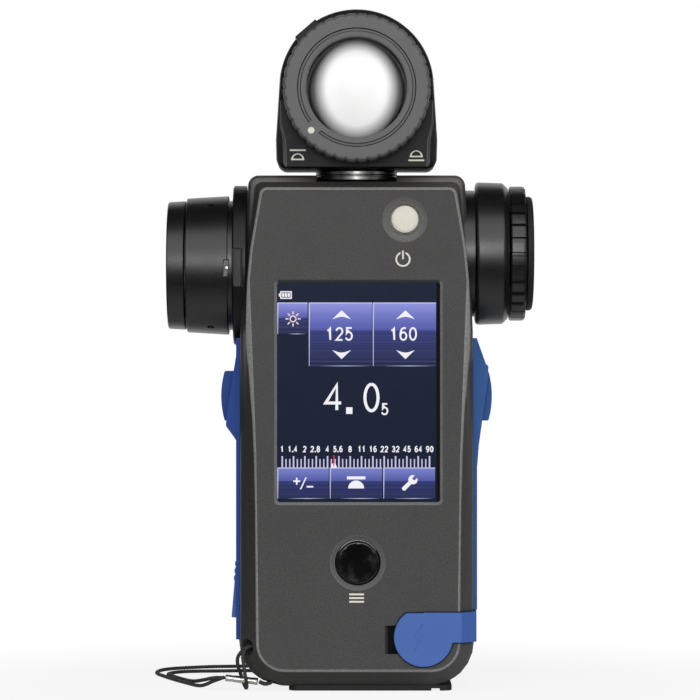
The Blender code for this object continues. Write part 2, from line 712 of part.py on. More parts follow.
def front_shell():
    bevel_y = FRONT_Y + FRONT_BEVEL
    shell = loft("front_shell", [
        (FRONT_Y, plateau_outline()),
        (bevel_y, case_outline()),
        (SPLIT_Y - GAP / 2, case_outline()),
    ])
    cavity = front_plate("front_cavity", [cavity_outline(0.0, BODY_HEIGHT - WALL)], FRONT_Y + WALL,
                         SPLIT_Y + THROUGH)
    cut(shell, cavity)
    for i, (x, z) in enumerate(screw_places()[2:]):
        join(shell, rod(f"front_post_{i}", (x, SPLIT_Y - GAP / 2, z), (0, -1, 0),
                        SPLIT_Y - GAP / 2 - FRONT_Y - WALL / 2, POST_RADIUS, sides=24))
    recess_grips(shell, "front")
    case_openings(shell, "front")
    glass_half = SCREEN_WIDTH / 2 + SCREEN_LEDGE + GAP
    glass_tall = SCREEN_HEIGHT / 2 + SCREEN_LEDGE + GAP
    cut(
        shell,
        box("screen_window", (SCREEN_X - SCREEN_WIDTH / 2, FRONT_Y - THROUGH, SCREEN_Z - SCREEN_HEIGHT / 2),
            (SCREEN_X + SCREEN_WIDTH / 2, FRONT_Y + WALL + THROUGH, SCREEN_Z + SCREEN_HEIGHT / 2)),
        box("glass_pocket", (SCREEN_X - glass_half, FRONT_Y + SCREEN_LIP, SCREEN_Z - glass_tall),
            (SCREEN_X + glass_half, FRONT_Y + WALL + THROUGH, SCREEN_Z + glass_tall)),
    )
    for word, x, z, radius, dish in (("power", POWER_X, POWER_Z, POWER_RADIUS, POWER_DISH),
                                     ("menu", MENU_X, MENU_Z, MENU_RADIUS, MENU_DISH)):
        hole = radius + RUNNING_GAP
        cut(
            shell,
            rod(f"{word}_dish", (x, FRONT_Y + DISH_DEPTH, z), (0, -1, 0), 2 * DISH_DEPTH, hole,
                2 * dish - hole, sides=32),
            rod(f"{word}_hole", (x, FRONT_Y + WALL + THROUGH, z), (0, -1, 0), WALL + 2 * THROUGH, hole,
                sides=32),
        )
    for i, (x, z) in enumerate(screw_places()):
        cut(shell, rod(f"front_pilot_{i}", (x, SCREW_TIP_Y - GAP, z), (0, 1, 0),
                       THROUGH + SPLIT_Y - SCREW_TIP_Y,
                       SCREW_SHANK + GAP, sides=16))
    sync_start = (SYNC_X, FRONT_Y + SYNC_RECESS + GAP + SYNC_SOCKET_DEPTH + GAP, SYNC_Z)
    cut(shell, rod("sync_hole", sync_start, (0, -1, 0), SYNC_SOCKET_DEPTH + THROUGH,
                   SYNC_SOCKET_RADIUS + GAP))
    cut(shell, sync_shape("sync_recess", GAP))
    cut(shell, tube("eyelet", smooth_route(EYELET_ROUTE, CORD_STEP), EYELET_RADIUS, 3))
    return add_part(shell, CASE_GREY)


def rear_shell():
    shell = loft("rear_shell", [
        (SPLIT_Y + GAP / 2, case_outline()),
        (BACK_Y - BACK_BEVEL, case_outline()),
        (BACK_Y, case_outline(BACK_BEVEL)),
    ])
    cavity = front_plate("rear_cavity", [cavity_outline(0.0, BODY_HEIGHT - WALL)], SPLIT_Y - THROUGH,
                         BACK_Y - WALL)
    cut(shell, cavity)
    for i, (x, z) in enumerate(screw_places()[2:]):
        join(shell, rod(f"rear_post_{i}", (x, SPLIT_Y + GAP / 2, z), (0, 1, 0),
                        BACK_Y - WALL / 2 - SPLIT_Y - GAP / 2, POST_RADIUS, sides=24))
    recess_grips(shell, "rear")
    case_openings(shell, "rear")
    for i, (x, z) in enumerate(screw_places()):
        cut(
            shell,
            rod(f"screw_seat_{i}", (x, SCREW_SEAT_Y, z), (0, 1, 0), THROUGH, SCREW_HEAD + GAP, sides=24),
            rod(f"screw_hole_{i}", (x, SPLIT_Y - THROUGH, z), (0, 1, 0), BACK_Y - SPLIT_Y + 2 * THROUGH,
                SCREW_SHANK + GAP, sides=16),
        )
    lid_half = LID_HALF_WIDTH + GAP
    cut(
        shell,
        box("lid_opening", (-lid_half, BACK_Y - WALL - GAP, LID_LOW_Z - GAP),
            (lid_half, BACK_Y + THROUGH, LID_HIGH_Z + GAP)),
        box("radio_opening", (-RADIO_HALF_WIDTH - GAP, BACK_Y - WALL - GAP, RADIO_LOW_Z - GAP),
            (RADIO_HALF_WIDTH + GAP, BACK_Y + THROUGH, RADIO_LOW_Z + RADIO_HEIGHT + GAP)),
    )
    return add_part(shell, CASE_GREY)


def sync_shape(name, clearance):
    """Cover of the synchro terminal: a flat-topped disc in front, and an arm round the right edge."""
    proud = SYNC_PROUD if clearance == 0.0 else THROUGH
    sunk = SYNC_RECESS + clearance
    edge = PLATEAU_WAIST_HALF
    side = BODY_HALF_WIDTH
    bevel_y = FRONT_Y + FRONT_BEVEL
    bend = FRONT_BEVEL / 4
    arm = [
        (SYNC_X, FRONT_Y + sunk),
        (SYNC_X, FRONT_Y - proud),
        (edge + bend, FRONT_Y - proud),
        (side + proud, bevel_y - bend),
        (side + proud, SYNC_HINGE_Y + clearance),
        (side - sunk, SYNC_HINGE_Y + clearance),
        (side - sunk, bevel_y),
        (edge, FRONT_Y + sunk),
    ]
    low = SYNC_ARM_LOW_Z - clearance
    top = SYNC_ARM_HIGH_Z + clearance
    shape = plate(name, [arm], (0, 0, low), (0, 0, 1), top - low)
    disc = circle(SYNC_COVER_RADIUS + clearance, 40, (SYNC_X, SYNC_Z))
    disc = [(x, min(max(z, SYNC_FOOT_Z - clearance), SYNC_FLAT_Z + clearance)) for x, z in disc]
    join(shape, front_plate(name + "_disc", [disc], FRONT_Y - proud, FRONT_Y + sunk))
    return shape


def side_grip(side, word):
    """Blue side strip with the guard round its button and a window for that button."""
    grip = keep_side(grip_ring(f"{word}_grip", GRIP_INSET, GRIP_THICKNESS, 0.0), side, 0.0)
    trim = grip_ring(f"{word}_trim", -GRIP_FOOT_PROUD, GRIP_THICKNESS + THROUGH, THROUGH)
    reach = BODY_HALF_WIDTH + 2 * THROUGH
    cut(trim, box(f"{word}_trim_limit", (-2 * reach, GRIP_FRONT_Y - 2 * THROUGH, GRIP_STEP_Z),
                  (2 * reach, GRIP_BACK_Y + 2 * THROUGH, 2 * BODY_HEIGHT)))
    cut(grip, trim)
    skin = BODY_HALF_WIDTH + GRIP_THICKNESS
    root = BODY_HALF_WIDTH
    half = SIDE_BUTTON_HEIGHT / 2 + RUNNING_GAP
    low = SIDE_BUTTON_Z - half
    high = SIDE_BUTTON_Z + half
    if side < 0:
        wedge = [(root, low - GUARD_SLOPE), (skin, low - GUARD_SLOPE), (skin + LEFT_GUARD_REACH, low),
                 (root, low)]
    else:
        wedge = [(root, GRIP_TOP_Z), (skin, GRIP_TOP_Z), (skin + RIGHT_GUARD_REACH, high), (root, high)]
    wedge = [(side * x, z) for x, z in wedge]
    join(grip, front_plate(f"{word}_guard", [wedge], GUARD_Y - GUARD_HALF_DEPTH,
                           GUARD_Y + GUARD_HALF_DEPTH))
    profile = LEFT_GUARD_PLATE if side < 0 else RIGHT_GUARD_PLATE
    guard = [(side * (skin + x * MM), high + z * MM) for x, z in profile]
    inner = side * (root - GRIP_INSET / 2)
    guard = [(inner, guard[0][1]), *guard, (inner, guard[-1][1])]
    join(grip, front_plate(f"{word}_guard_plate", [guard], GRIP_FRONT_Y + GAP, GUARD_PLATE_BACK_Y))
    deep = SIDE_BUTTON_DEPTH / 2 + RUNNING_GAP
    near, far = sorted((side * (root - 2 * THROUGH), side * (root + 2 * THROUGH)))
    cut(grip, box(f"{word}_button_window", (near, GUARD_Y - deep, low), (far, GUARD_Y + deep, high)))
    if side < 0:
        usb_half = USB_COVER_DEPTH / 2 + GAP
        cut(grip, flange_room("grip_flange_room"))
        cut(grip, box("usb_window", (near, USB_Y - usb_half, USB_LOW_Z - GAP),
                      (far, USB_Y + usb_half, USB_HIGH_Z + GAP)))
    else:
        cut(grip, sync_shape("sync_grip_recess", GAP))
    return add_part(grip, BLUE_RUBBER)


def side_button(side, word):
    root = BODY_HALF_WIDTH - GRIP_INSET + SIDE_BUTTON_TRAVEL + GAP
    face = BODY_HALF_WIDTH + GRIP_THICKNESS + SIDE_BUTTON_PROUD
    half = SIDE_BUTTON_HEIGHT / 2
    outline = [(side * root, SIDE_BUTTON_Z - half)]
    for i in range(-6, 7):
        share = i / 6
        outline.append((side * (face - SIDE_BUTTON_BULGE * share ** 2), SIDE_BUTTON_Z + half * share))
    outline.append((side * root, SIDE_BUTTON_Z + half))
    deep = SIDE_BUTTON_DEPTH / 2
    button = front_plate(f"{word}_button", [outline], GUARD_Y - deep, GUARD_Y + deep)
    stem = rod(f"{word}_stem", (side * (root + GAP), GUARD_Y, SIDE_BUTTON_Z), (-side, 0, 0),
               SIDE_STEM_LENGTH + GAP, SIDE_STEM_RADIUS, sides=24)
    join(button, stem)
    add_part(button, BLUE_RUBBER)
    hang_on(axis_empty(f"{word}_button_axis", (side * face, GUARD_Y, SIDE_BUTTON_Z)), button)
    tip = root - SIDE_STEM_LENGTH - SIDE_BUTTON_TRAVEL - GAP
    near, far = sorted((side * tip, side * (tip - SIDE_SWITCH_LENGTH)))
    rise = SIDE_SWITCH_HEIGHT / 2
    switch = box(f"{word}_switch", (near, BOARD_BACK_Y + GAP, SIDE_BUTTON_Z - rise),
                 (far, GUARD_Y + SIDE_STEM_RADIUS, SIDE_BUTTON_Z + rise))
    add_part(switch, SATIN_BLACK)


GLASS_FRONT_Y = FRONT_Y + SCREEN_LIP + GAP
LCD_FRONT_Y = GLASS_FRONT_Y + GLASS_THICKNESS + GAP
BOARD_FRONT_Y = LCD_FRONT_Y + LCD_THICKNESS + GAP
BOARD_BACK_Y = BOARD_FRONT_Y + BOARD_THICKNESS


def display():
    half = SCREEN_WIDTH / 2 + SCREEN_LEDGE
    tall = SCREEN_HEIGHT / 2 + SCREEN_LEDGE
    low = (SCREEN_X - half, GLASS_FRONT_Y, SCREEN_Z - tall)
    high = (SCREEN_X + half, GLASS_FRONT_Y + GLASS_THICKNESS, SCREEN_Z + tall)
    add_part(box("touch_glass", low, high), DARK_GLASS)
    low = (SCREEN_X - half, LCD_FRONT_Y, SCREEN_Z - tall)
    high = (SCREEN_X + half, LCD_FRONT_Y + LCD_THICKNESS, SCREEN_Z + tall)
    add_part(box("lcd_panel", low, high), SATIN_BLACK)
    board = box("main_board", (-BOARD_HALF_WIDTH, BOARD_FRONT_Y, MENU_Z - BOARD_MARGIN),
                (BOARD_HALF_WIDTH, BOARD_BACK_Y, POWER_Z + BOARD_MARGIN / 2))
    for i, (x, z) in enumerate(screw_places()[2:]):
        cut(board, rod(f"board_notch_{i}", (x, BOARD_BACK_Y + THROUGH, z), (0, -1, 0),
                       BOARD_THICKNESS + 2 * THROUGH,
                       POST_RADIUS + GAP, sides=24))
    add_part(board, CIRCUIT_GREEN)


def front_button(word, x, z, radius, material):
    """Round push button with a rim behind the front wall, and its switch on the board."""
    face = GAP + SWITCH_HEIGHT + GAP + BUTTON_TRAVEL
    inner = BOARD_FRONT_Y - face
    rim = FRONT_Y + WALL + GAP
    profile = [
        (0.0, BUTTON_PROUD - FRONT_Y),
        (radius, BUTTON_PROUD - FRONT_Y),
        (radius, -rim),
        (radius + BUTTON_RIM, -rim),
        (radius + BUTTON_RIM, -inner),
        (0.0, -inner),
    ]
    button = turned(f"{word}_button", profile, (x, 0.0, z), (0, -1, 0), 32, closed=False)
    add_part(button, material)
    hang_on(axis_empty(f"{word}_button_axis", (x, FRONT_Y, z)), button)
    switch = rod(f"{word}_switch", (x, BOARD_FRONT_Y - GAP, z), (0, -1, 0), SWITCH_HEIGHT, SWITCH_RADIUS,
                 sides=20)
    add_part(switch, NICKEL)


def case_screws():
    for (x, z), word in zip(screw_places(), ("lower_left", "lower_right", "upper_left", "upper_right")):
        top = BACK_Y - GAP
        profile = [
            (0.0, top),
            (SCREW_HEAD, top),
            (SCREW_HEAD, top - SCREW_HEAD_LENGTH),
            (SCREW_SHANK, top - SCREW_HEAD_LENGTH),
            (SCREW_SHANK, SCREW_TIP_Y),
            (0.0, SCREW_TIP_Y),
        ]
        add_part(turned(f"{word}_screw", profile, (x, 0, z), (0, 1, 0), 16, closed=False), NICKEL)


def lens(name, centre, direction, radius, height):
    """Glass with a flat back at the given height and a bulging front."""
    top = height + LENS_EDGE + LENS_BULGE
    profile = [(radius * k / 4, top - LENS_BULGE * (k / 4) ** 2) for k in range(5)]
    profile += [(radius, height), (0.0, height)]
    return add_part(turned(name, profile, centre, direction, 32, closed=False), CLEAR_GLASS)


def objective():
    centre = (0.0, FINDER_Y, OBJECTIVE_Z)
    outward = (-1, 0, 0)
    flange_start = (FLANGE_INNER_X, FINDER_Y, OBJECTIVE_Z)
    flange = rod("objective_flange", flange_start, outward, FLANGE_THICKNESS, FLANGE_RADIUS, sides=40)
    keep(flange, box("flange_flats", (FLANGE_OUTER_X - THROUGH, FINDER_Y - FLANGE_FLAT, 0.0),
                     (0.0, FINDER_Y + FLANGE_FLAT, BODY_HEIGHT)))
    cut(flange, rod("flange_bore", (0, FINDER_Y, OBJECTIVE_Z), outward, -FLANGE_OUTER_X + THROUGH,
                    TUBE_RADIUS + GAP,
                    sides=32))
    add_part(flange, SATIN_BLACK)
    front = -BARREL_FRONT_X
    root = -FLANGE_OUTER_X + GAP
    inner = PRISM_X + PRISM_SIZE / 2 + GAP
    bore = TUBE_RADIUS - TUBE_WALL
    profile = [
        (BARREL_FRONT_RADIUS, front),
        (BARREL_RADIUS, root + BARREL_GROOVE),
        (BARREL_RADIUS - BARREL_GROOVE, root + BARREL_GROOVE),
        (BARREL_RADIUS - BARREL_GROOVE, root),
        (TUBE_RADIUS, root),
        (TUBE_RADIUS, inner),
        (bore, inner),
        (bore, front - OBJECTIVE_HOOD),
        (OBJECTIVE_BORE, front - OBJECTIVE_HOOD),
        (OBJECTIVE_BORE, front),
    ]
    add_part(turned("objective_barrel", profile, centre, outward), SATIN_BLACK)
    tip = -OBJECTIVE_FRONT_X
    ring = [(OBJECTIVE_RING_RADIUS, tip), (OBJECTIVE_RING_RADIUS, front + GAP),
            (OBJECTIVE_BORE, front + GAP),
            (OBJECTIVE_BORE, tip)]
    add_part(turned("objective_front_ring", ring, centre, outward), SATIN_BLACK)
    lens("objective_lens", centre, outward, OBJECTIVE_BORE - GAP, front - OBJECTIVE_HOOD + GAP)


def finder_inside():
    half = PRISM_SIZE / 2
    low = (PRISM_X - half, FINDER_Y - half, OBJECTIVE_Z - half)
    high = (PRISM_X + half, FINDER_Y + half, EYEPIECE_Z + half)
    add_part(box("spot_prism", low, high), CLEAR_GLASS)
    sensor = rod("spot_sensor", (PRISM_X, FINDER_Y, EYEPIECE_Z + half + GAP), (0, 0, 1), SENSOR_LENGTH,
                 SENSOR_RADIUS,
                 sides=20)
    add_part(sensor, SATIN_BLACK)
    reticle_x = PRISM_X + half + RETICLE_SETBACK
    reticle = rod("reticle_plate", (reticle_x, FINDER_Y, EYEPIECE_Z), (1, 0, 0), RETICLE_THICKNESS,
                  TUBE_RADIUS - TUBE_WALL - GAP)
    add_part(reticle, CLEAR_GLASS)


def eyepiece():
    centre = (0.0, FINDER_Y, EYEPIECE_Z)
    outward = (1, 0, 0)
    bore = TUBE_RADIUS - TUBE_WALL
    neck_top = COLLAR_INNER_X - GAP
    inner = PRISM_X + PRISM_SIZE / 2 + GAP
    neck = [(NECK_RADIUS, neck_top), (NECK_RADIUS, NECK_INNER_X), (TUBE_RADIUS, NECK_INNER_X),
            (TUBE_RADIUS, inner),
            (bore, inner), (bore, neck_top)]
    add_part(turned("eyepiece_neck", neck, centre, outward), SATIN_BLACK)
    sleeve = OCULAR_RADIUS + RUNNING_GAP
    collar = [
        (COLLAR_RADIUS - COLLAR_CHAMFER, COLLAR_OUTER_X),
        (COLLAR_RADIUS, COLLAR_OUTER_X - COLLAR_CHAMFER),
        (COLLAR_RADIUS, COLLAR_INNER_X),
        (sleeve, COLLAR_INNER_X),
        (sleeve, COLLAR_OUTER_X),
    ]
    add_part(turned("eyepiece_collar", collar, centre, outward), SATIN_BLACK)
    loops = [toothed(DIOPTER_RADIUS, DIOPTER_RIB_DEPTH, DIOPTER_RIBS), circle(sleeve, 36)]
    ring_start = (COLLAR_OUTER_X + RUNNING_GAP, FINDER_Y, EYEPIECE_Z)
    ring = add_part(plate("diopter_ring", loops, ring_start, outward, DIOPTER_LENGTH), SATIN_BLACK)
    cup = [(EYECUP_RADIUS, EYECUP_OUTER_X), (EYECUP_RADIUS, DIOPTER_OUTER_X + GAP),
           (EYECUP_BORE, DIOPTER_OUTER_X + GAP),
           (EYECUP_BORE, EYECUP_OUTER_X)]
    cup = add_part(turned("eyecup", cup, centre, outward), SATIN_BLACK)
    hang_on(axis_empty("diopter_axis", ring_start), ring, cup)
    cell_inner = COLLAR_INNER_X + OCULAR_TRAVEL + GAP
    cell_bore = OCULAR_RADIUS - OCULAR_WALL
    cell = [(OCULAR_RADIUS, DIOPTER_OUTER_X), (OCULAR_RADIUS, cell_inner), (cell_bore, cell_inner),
            (cell_bore, DIOPTER_OUTER_X)]
    cell = add_part(turned("ocular_cell", cell, centre, outward), SATIN_BLACK)
    glass = lens("ocular_lens", centre, outward, cell_bore - GAP, cell_inner + LENS_EDGE)
    hang_on(axis_empty("ocular_axis", (cell_inner, FINDER_Y, EYEPIECE_Z)), cell, glass)


def head_outline(inset=0.0):
    half = [
        (HEAD_FOOT_HALF_WIDTH - inset, HEAD_BOTTOM_Z + inset, max(HEAD_CORNER - inset, GAP)),
        (HEAD_FLARE - inset, HEAD_FLARE_Z, 0.0),
    ]
    steps = 12
    for k in range(steps):
        angle = math.radians(90.0 * (k + 0.5) / steps)
        reach = HEAD_RADIUS - inset
        half.append((reach * math.cos(angle), HEAD_Z + ARCH_LIFT + reach * math.sin(angle), 0.0))
    return rounded(mirrored(half))


def head():
    """Swivel head: two shells round a spool that turns in the top of the case."""
    axis = axis_empty("head_axis", (0.0, 0.0, BODY_HEIGHT))
    front = loft("head_front_shell", [
        (HEAD_FRONT_Y, head_outline(HEAD_BEVEL)),
        (HEAD_FRONT_Y + HEAD_BEVEL, head_outline()),
        (HEAD_SPLIT_Y - GAP / 2, head_outline()),
    ])
    rear = loft("head_rear_shell", [
        (HEAD_SPLIT_Y + GAP / 2, head_outline()),
        (HEAD_BACK_Y - HEAD_BEVEL, head_outline()),
        (HEAD_BACK_Y, head_outline(HEAD_BEVEL)),
    ])
    room = front_plate("head_room", [head_outline(HEAD_WALL)], HEAD_FRONT_Y + HEAD_WALL,
                       HEAD_BACK_Y - HEAD_WALL)
    hole = rod("head_swivel_hole", (0, 0, HEAD_BOTTOM_Z - THROUGH), (0, 0, 1), HEAD_WALL + 2 * THROUGH,
               SWIVEL_RADIUS + GAP)
    for shell in (front, rear):
        cut(shell, room, hole)
        add_part(shell, SATIN_BLACK)
    cut(front, rod("sphere_hole", (0, HEAD_FRONT_Y + HEAD_WALL + THROUGH, HEAD_Z), (0, -1, 0),
                   HEAD_WALL + 2 * THROUGH,
                   RING_BORE, sides=32))
    low = BODY_HEIGHT - SWIVEL_DEPTH
    under = BODY_HEIGHT - WALL - RUNNING_GAP
    over = HEAD_BOTTOM_Z + HEAD_WALL + GAP
    top = HEAD_BOTTOM_Z + SWIVEL_RISE
    wide = SWIVEL_RADIUS + SWIVEL_FLANGE
    bore = SWIVEL_RADIUS - SWIVEL_WALL
    spool = [(wide, top), (wide, over), (SWIVEL_RADIUS, over), (SWIVEL_RADIUS, under), (wide, under),
             (wide, low),
             (bore, low), (bore, top)]
    spool = add_part(turned("swivel_tube", spool, (0, 0, 0), (0, 0, 1), 28), SATIN_BLACK)
    wall_y = HEAD_BACK_Y - HEAD_WALL - GAP
    half = SENSOR_BOARD_HALF
    board_y = wall_y - SENSOR_BOARD_THICKNESS
    board = add_part(box("sensor_board", (-half, board_y, HEAD_Z - half), (half, wall_y, HEAD_Z + half)),
                     CIRCUIT_GREEN)
    sensor_length = board_y - GAP - SPHERE_BACK_Y - GAP
    sensor = add_part(rod("light_sensor", (0, board_y - GAP, HEAD_Z), (0, -1, 0), sensor_length,
                          LIGHT_SENSOR_RADIUS,
                          sides=24), CLEAR_GLASS)
    hang_on(axis, front, rear, spool, board, sensor)
    collar_top = HEAD_BOTTOM_Z - RUNNING_GAP
    collar_low = BODY_HEIGHT - COLLAR_SINK
    sleeve = SWIVEL_RADIUS + RUNNING_GAP
    collar = [(COLLAR_SWIVEL_RADIUS, collar_top), (COLLAR_SWIVEL_RADIUS, collar_low), (sleeve, collar_low),
              (sleeve, collar_top)]
    add_part(turned("neck_collar", collar, (0, 0, 0), (0, 0, 1), 32), GLOSS_BLACK)


# The flange of the dome stops behind the front wall of the head when the dome is out
SPHERE_STOP_Y = HEAD_FRONT_Y + HEAD_WALL + GAP
SPHERE_FLANGE_Y = SPHERE_STOP_Y + SPHERE_TRAVEL
SPHERE_BACK_Y = SPHERE_FLANGE_Y + SPHERE_FLANGE_THICKNESS


def lumisphere():
    """White dome that slides out of the head as the scalloped ring round it turns."""
    centre = (0.0, 0.0, HEAD_Z)
    tip = -SPHERE_TIP_Y
    equator = tip - SPHERE_RADIUS
    inside = SPHERE_RADIUS - SPHERE_WALL
    arc = [math.radians(90.0 - 15.0 * k) for k in range(7)]
    profile = [(SPHERE_RADIUS * math.cos(a), equator + SPHERE_RADIUS * math.sin(a)) for a in arc]
    profile[0] = (0.0, tip)
    profile += [(SPHERE_RADIUS, -SPHERE_FLANGE_Y), (SPHERE_FLANGE, -SPHERE_FLANGE_Y),
                (SPHERE_FLANGE, -SPHERE_BACK_Y),
                (inside, -SPHERE_BACK_Y)]
    profile += [(inside * math.cos(a), equator + inside * math.sin(a)) for a in reversed(arc)]
    profile[-1] = (0.0, equator + inside)
    dome = add_part(turned("lumisphere", profile, centre, (0, -1, 0), 32, closed=False), WHITE_DOME)
    hang_on(axis_empty("lumisphere_axis", (0.0, SPHERE_TIP_Y, HEAD_Z)), dome)
    back = HEAD_FRONT_Y - RUNNING_GAP
    loops = [toothed(RING_RADIUS, RING_SCALLOP_DEPTH, RING_SCALLOPS, 0.7), circle(RING_BORE, 36)]
    ring = plate("lumisphere_ring", loops, (0.0, back, HEAD_Z), (0, -1, 0), back - RING_FRONT_Y)
    half = TAB_LENGTH / 2
    tab = box("ring_tab", (RING_RADIUS - 2 * TAB_PROUD, RING_FRONT_Y + TAB_PROUD, -half),
              (RING_RADIUS + TAB_PROUD, back - TAB_PROUD, half))
    tab.matrix_world = Matrix.Translation(centre) @ Matrix.Rotation(-TAB_ANGLE, 4, "Y")
    join(ring, tab)
    add_part(ring, RING_GREY)
    hang_on(axis_empty("ring_axis", (0.0, RING_FRONT_Y, HEAD_Z)), ring)


def cells():
    """Two cells in a tray, their contacts, and the lid and latch that close the back."""
    tray_back = CELL_Y
    tray = front_plate("cell_tray", [cavity_outline(GAP, TRAY_TOP_Z)], SPLIT_Y + GAP, tray_back)
    sides = (-CELL_SPACING / 2, CELL_SPACING / 2)
    reach = GAP + CONTACT_THICKNESS + GAP
    for x, word in zip(sides, ("left", "right")):
        trough = rod(f"{word}_trough", (x, CELL_Y, CELL_LOW_Z - reach), (0, 0, 1), CELL_LENGTH + 2 * reach,
                     CELL_RADIUS + GAP)
        cut(tray, trough)
        cell = rod(f"{word}_cell", (x, CELL_Y, CELL_LOW_Z), (0, 0, 1), CELL_LENGTH, CELL_RADIUS)
        add_part(cell, CELL_SLEEVE)
    half = CELL_SPACING / 2 + CELL_RADIUS / 2
    deep = CELL_RADIUS / 2
    for low, word in ((CELL_LOW_Z - GAP - CONTACT_THICKNESS, "lower"), (CELL_HIGH_Z + GAP, "upper")):
        corner = Vector((-half, CELL_Y - deep, low))
        far = Vector((half, CELL_Y + deep, low + CONTACT_THICKNESS))
        room = Vector((GAP, GAP, GAP))
        cut(tray, box(f"{word}_contact_slot", corner - room, far + room))
        add_part(box(f"{word}_contact", corner, far), BRASS)
    cut(tray, usb_box("tray_usb_notch", GAP))
    add_part(tray, SATIN_BLACK)
    lid_front = BACK_Y - LID_THICKNESS
    lid = box("cell_lid", (-LID_HALF_WIDTH, lid_front, LID_LOW_Z), (LID_HALF_WIDTH, BACK_Y, LID_HIGH_Z))
    top = LID_HIGH_Z - LATCH_DROP
    low = top - LATCH_HEIGHT
    wide = LATCH_WIDTH / 2
    cut(lid, box("latch_slot", (-wide - GAP, BACK_Y - LATCH_RECESS - GAP, low - LATCH_TRAVEL - GAP),
                 (wide + GAP, BACK_Y + THROUGH, top + GAP)))
    add_part(lid, CASE_GREY)
    latch = box("lid_latch", (-wide, BACK_Y - LATCH_RECESS, low), (wide, BACK_Y + LATCH_PROUD, top))
    add_part(latch, SATIN_BLACK)
    hang_on(axis_empty("lid_axis", (0.0, BACK_Y, LID_LOW_Z)), lid)
    hang_on(axis_empty("latch_axis", (0.0, BACK_Y, top)), latch)


def radio():
    high = RADIO_LOW_Z + RADIO_HEIGHT
    cover_front = BACK_Y - WALL
    cover = box("radio_cover", (-RADIO_HALF_WIDTH, cover_front, RADIO_LOW_Z),
                (RADIO_HALF_WIDTH, BACK_Y, high))
    add_part(cover, CASE_GREY)
    inner = cover_front - GAP
    module = box("radio_module", (-RADIO_HALF_WIDTH, inner - RADIO_DEPTH, RADIO_LOW_Z),
                 (RADIO_HALF_WIDTH, inner, high))
    add_part(module, CIRCUIT_GREEN)


def base():
    pad = box("base_pad", (PAD_LEFT_X, PAD_FRONT_Y, 0.0), (PAD_RIGHT_X, PAD_BACK_Y, PAD_THICKNESS))
    cut(pad, rod("pad_hole", (BUSH_X, BUSH_Y, -THROUGH), (0, 0, 1), PAD_THICKNESS + 2 * THROUGH,
                 BUSH_RADIUS + GAP))
    add_part(pad, SATIN_BLACK)
    top = BUSH_RISE + BUSH_DEPTH
    bush = [(0.0, top), (BUSH_RADIUS, top), (BUSH_RADIUS, BUSH_RISE), (BUSH_BORE, BUSH_RISE),
            (BUSH_BORE, top - BUSH_END), (0.0, top - BUSH_END)]
    add_part(turned("tripod_bush", bush, (BUSH_X, BUSH_Y, 0.0), (0, 0, 1), 32, closed=False), BRASS)


def sockets():
    """Synchro and USB sockets with the rubber covers over them."""
    face = FRONT_Y + SYNC_RECESS + GAP
    back = -(face + SYNC_SOCKET_DEPTH)
    profile = [(SYNC_SOCKET_RADIUS, -face), (SYNC_SOCKET_RADIUS, back), (0.0, back)]
    profile = [(0.0, back + LENS_EDGE), (SYNC_SOCKET_BORE, back + LENS_EDGE),
               (SYNC_SOCKET_BORE, -face)] + profile
    add_part(turned("sync_socket", profile, (SYNC_X, 0, SYNC_Z), (0, -1, 0), 32, closed=False), NICKEL)
    cover = add_part(sync_shape("sync_cover", 0.0), BLUE_RUBBER)
    hang_on(axis_empty("sync_cover_axis", (BODY_HALF_WIDTH + SYNC_PROUD, SYNC_HINGE_Y, SYNC_Z)), cover)
    wall = -(BODY_HALF_WIDTH - GRIP_INSET)
    add_part(usb_box("usb_socket", 0.0), NICKEL)
    skin = -(BODY_HALF_WIDTH + GRIP_THICKNESS)
    inner = wall - GAP
    outline = [(inner, USB_HIGH_Z), (skin, USB_HIGH_Z), (skin, USB_LOW_Z + 4 * USB_LIP),
               (skin - USB_LIP, USB_LOW_Z),
               (inner, USB_LOW_Z)]
    deep = USB_COVER_DEPTH / 2
    usb_cover = add_part(front_plate("usb_cover", [outline], USB_Y - deep, USB_Y + deep), BLUE_RUBBER)
    hang_on(axis_empty("usb_cover_axis", (skin, USB_Y, USB_HIGH_Z)), usb_cover)


CRIMP_Z_SLOPE = (CRIMP_RIGHT_Z - CRIMP_LEFT_Z) / (CRIMP_RIGHT_X - CRIMP_LEFT_X)


def crimp_end(x, side):
    """Where the centre of one strand meets the crimp, a gap away from its end face."""
    return (x, STRAP_Y + side * STRAND_SPREAD, CRIMP_RIGHT_Z + CRIMP_Z_SLOPE * (x - CRIMP_RIGHT_X))


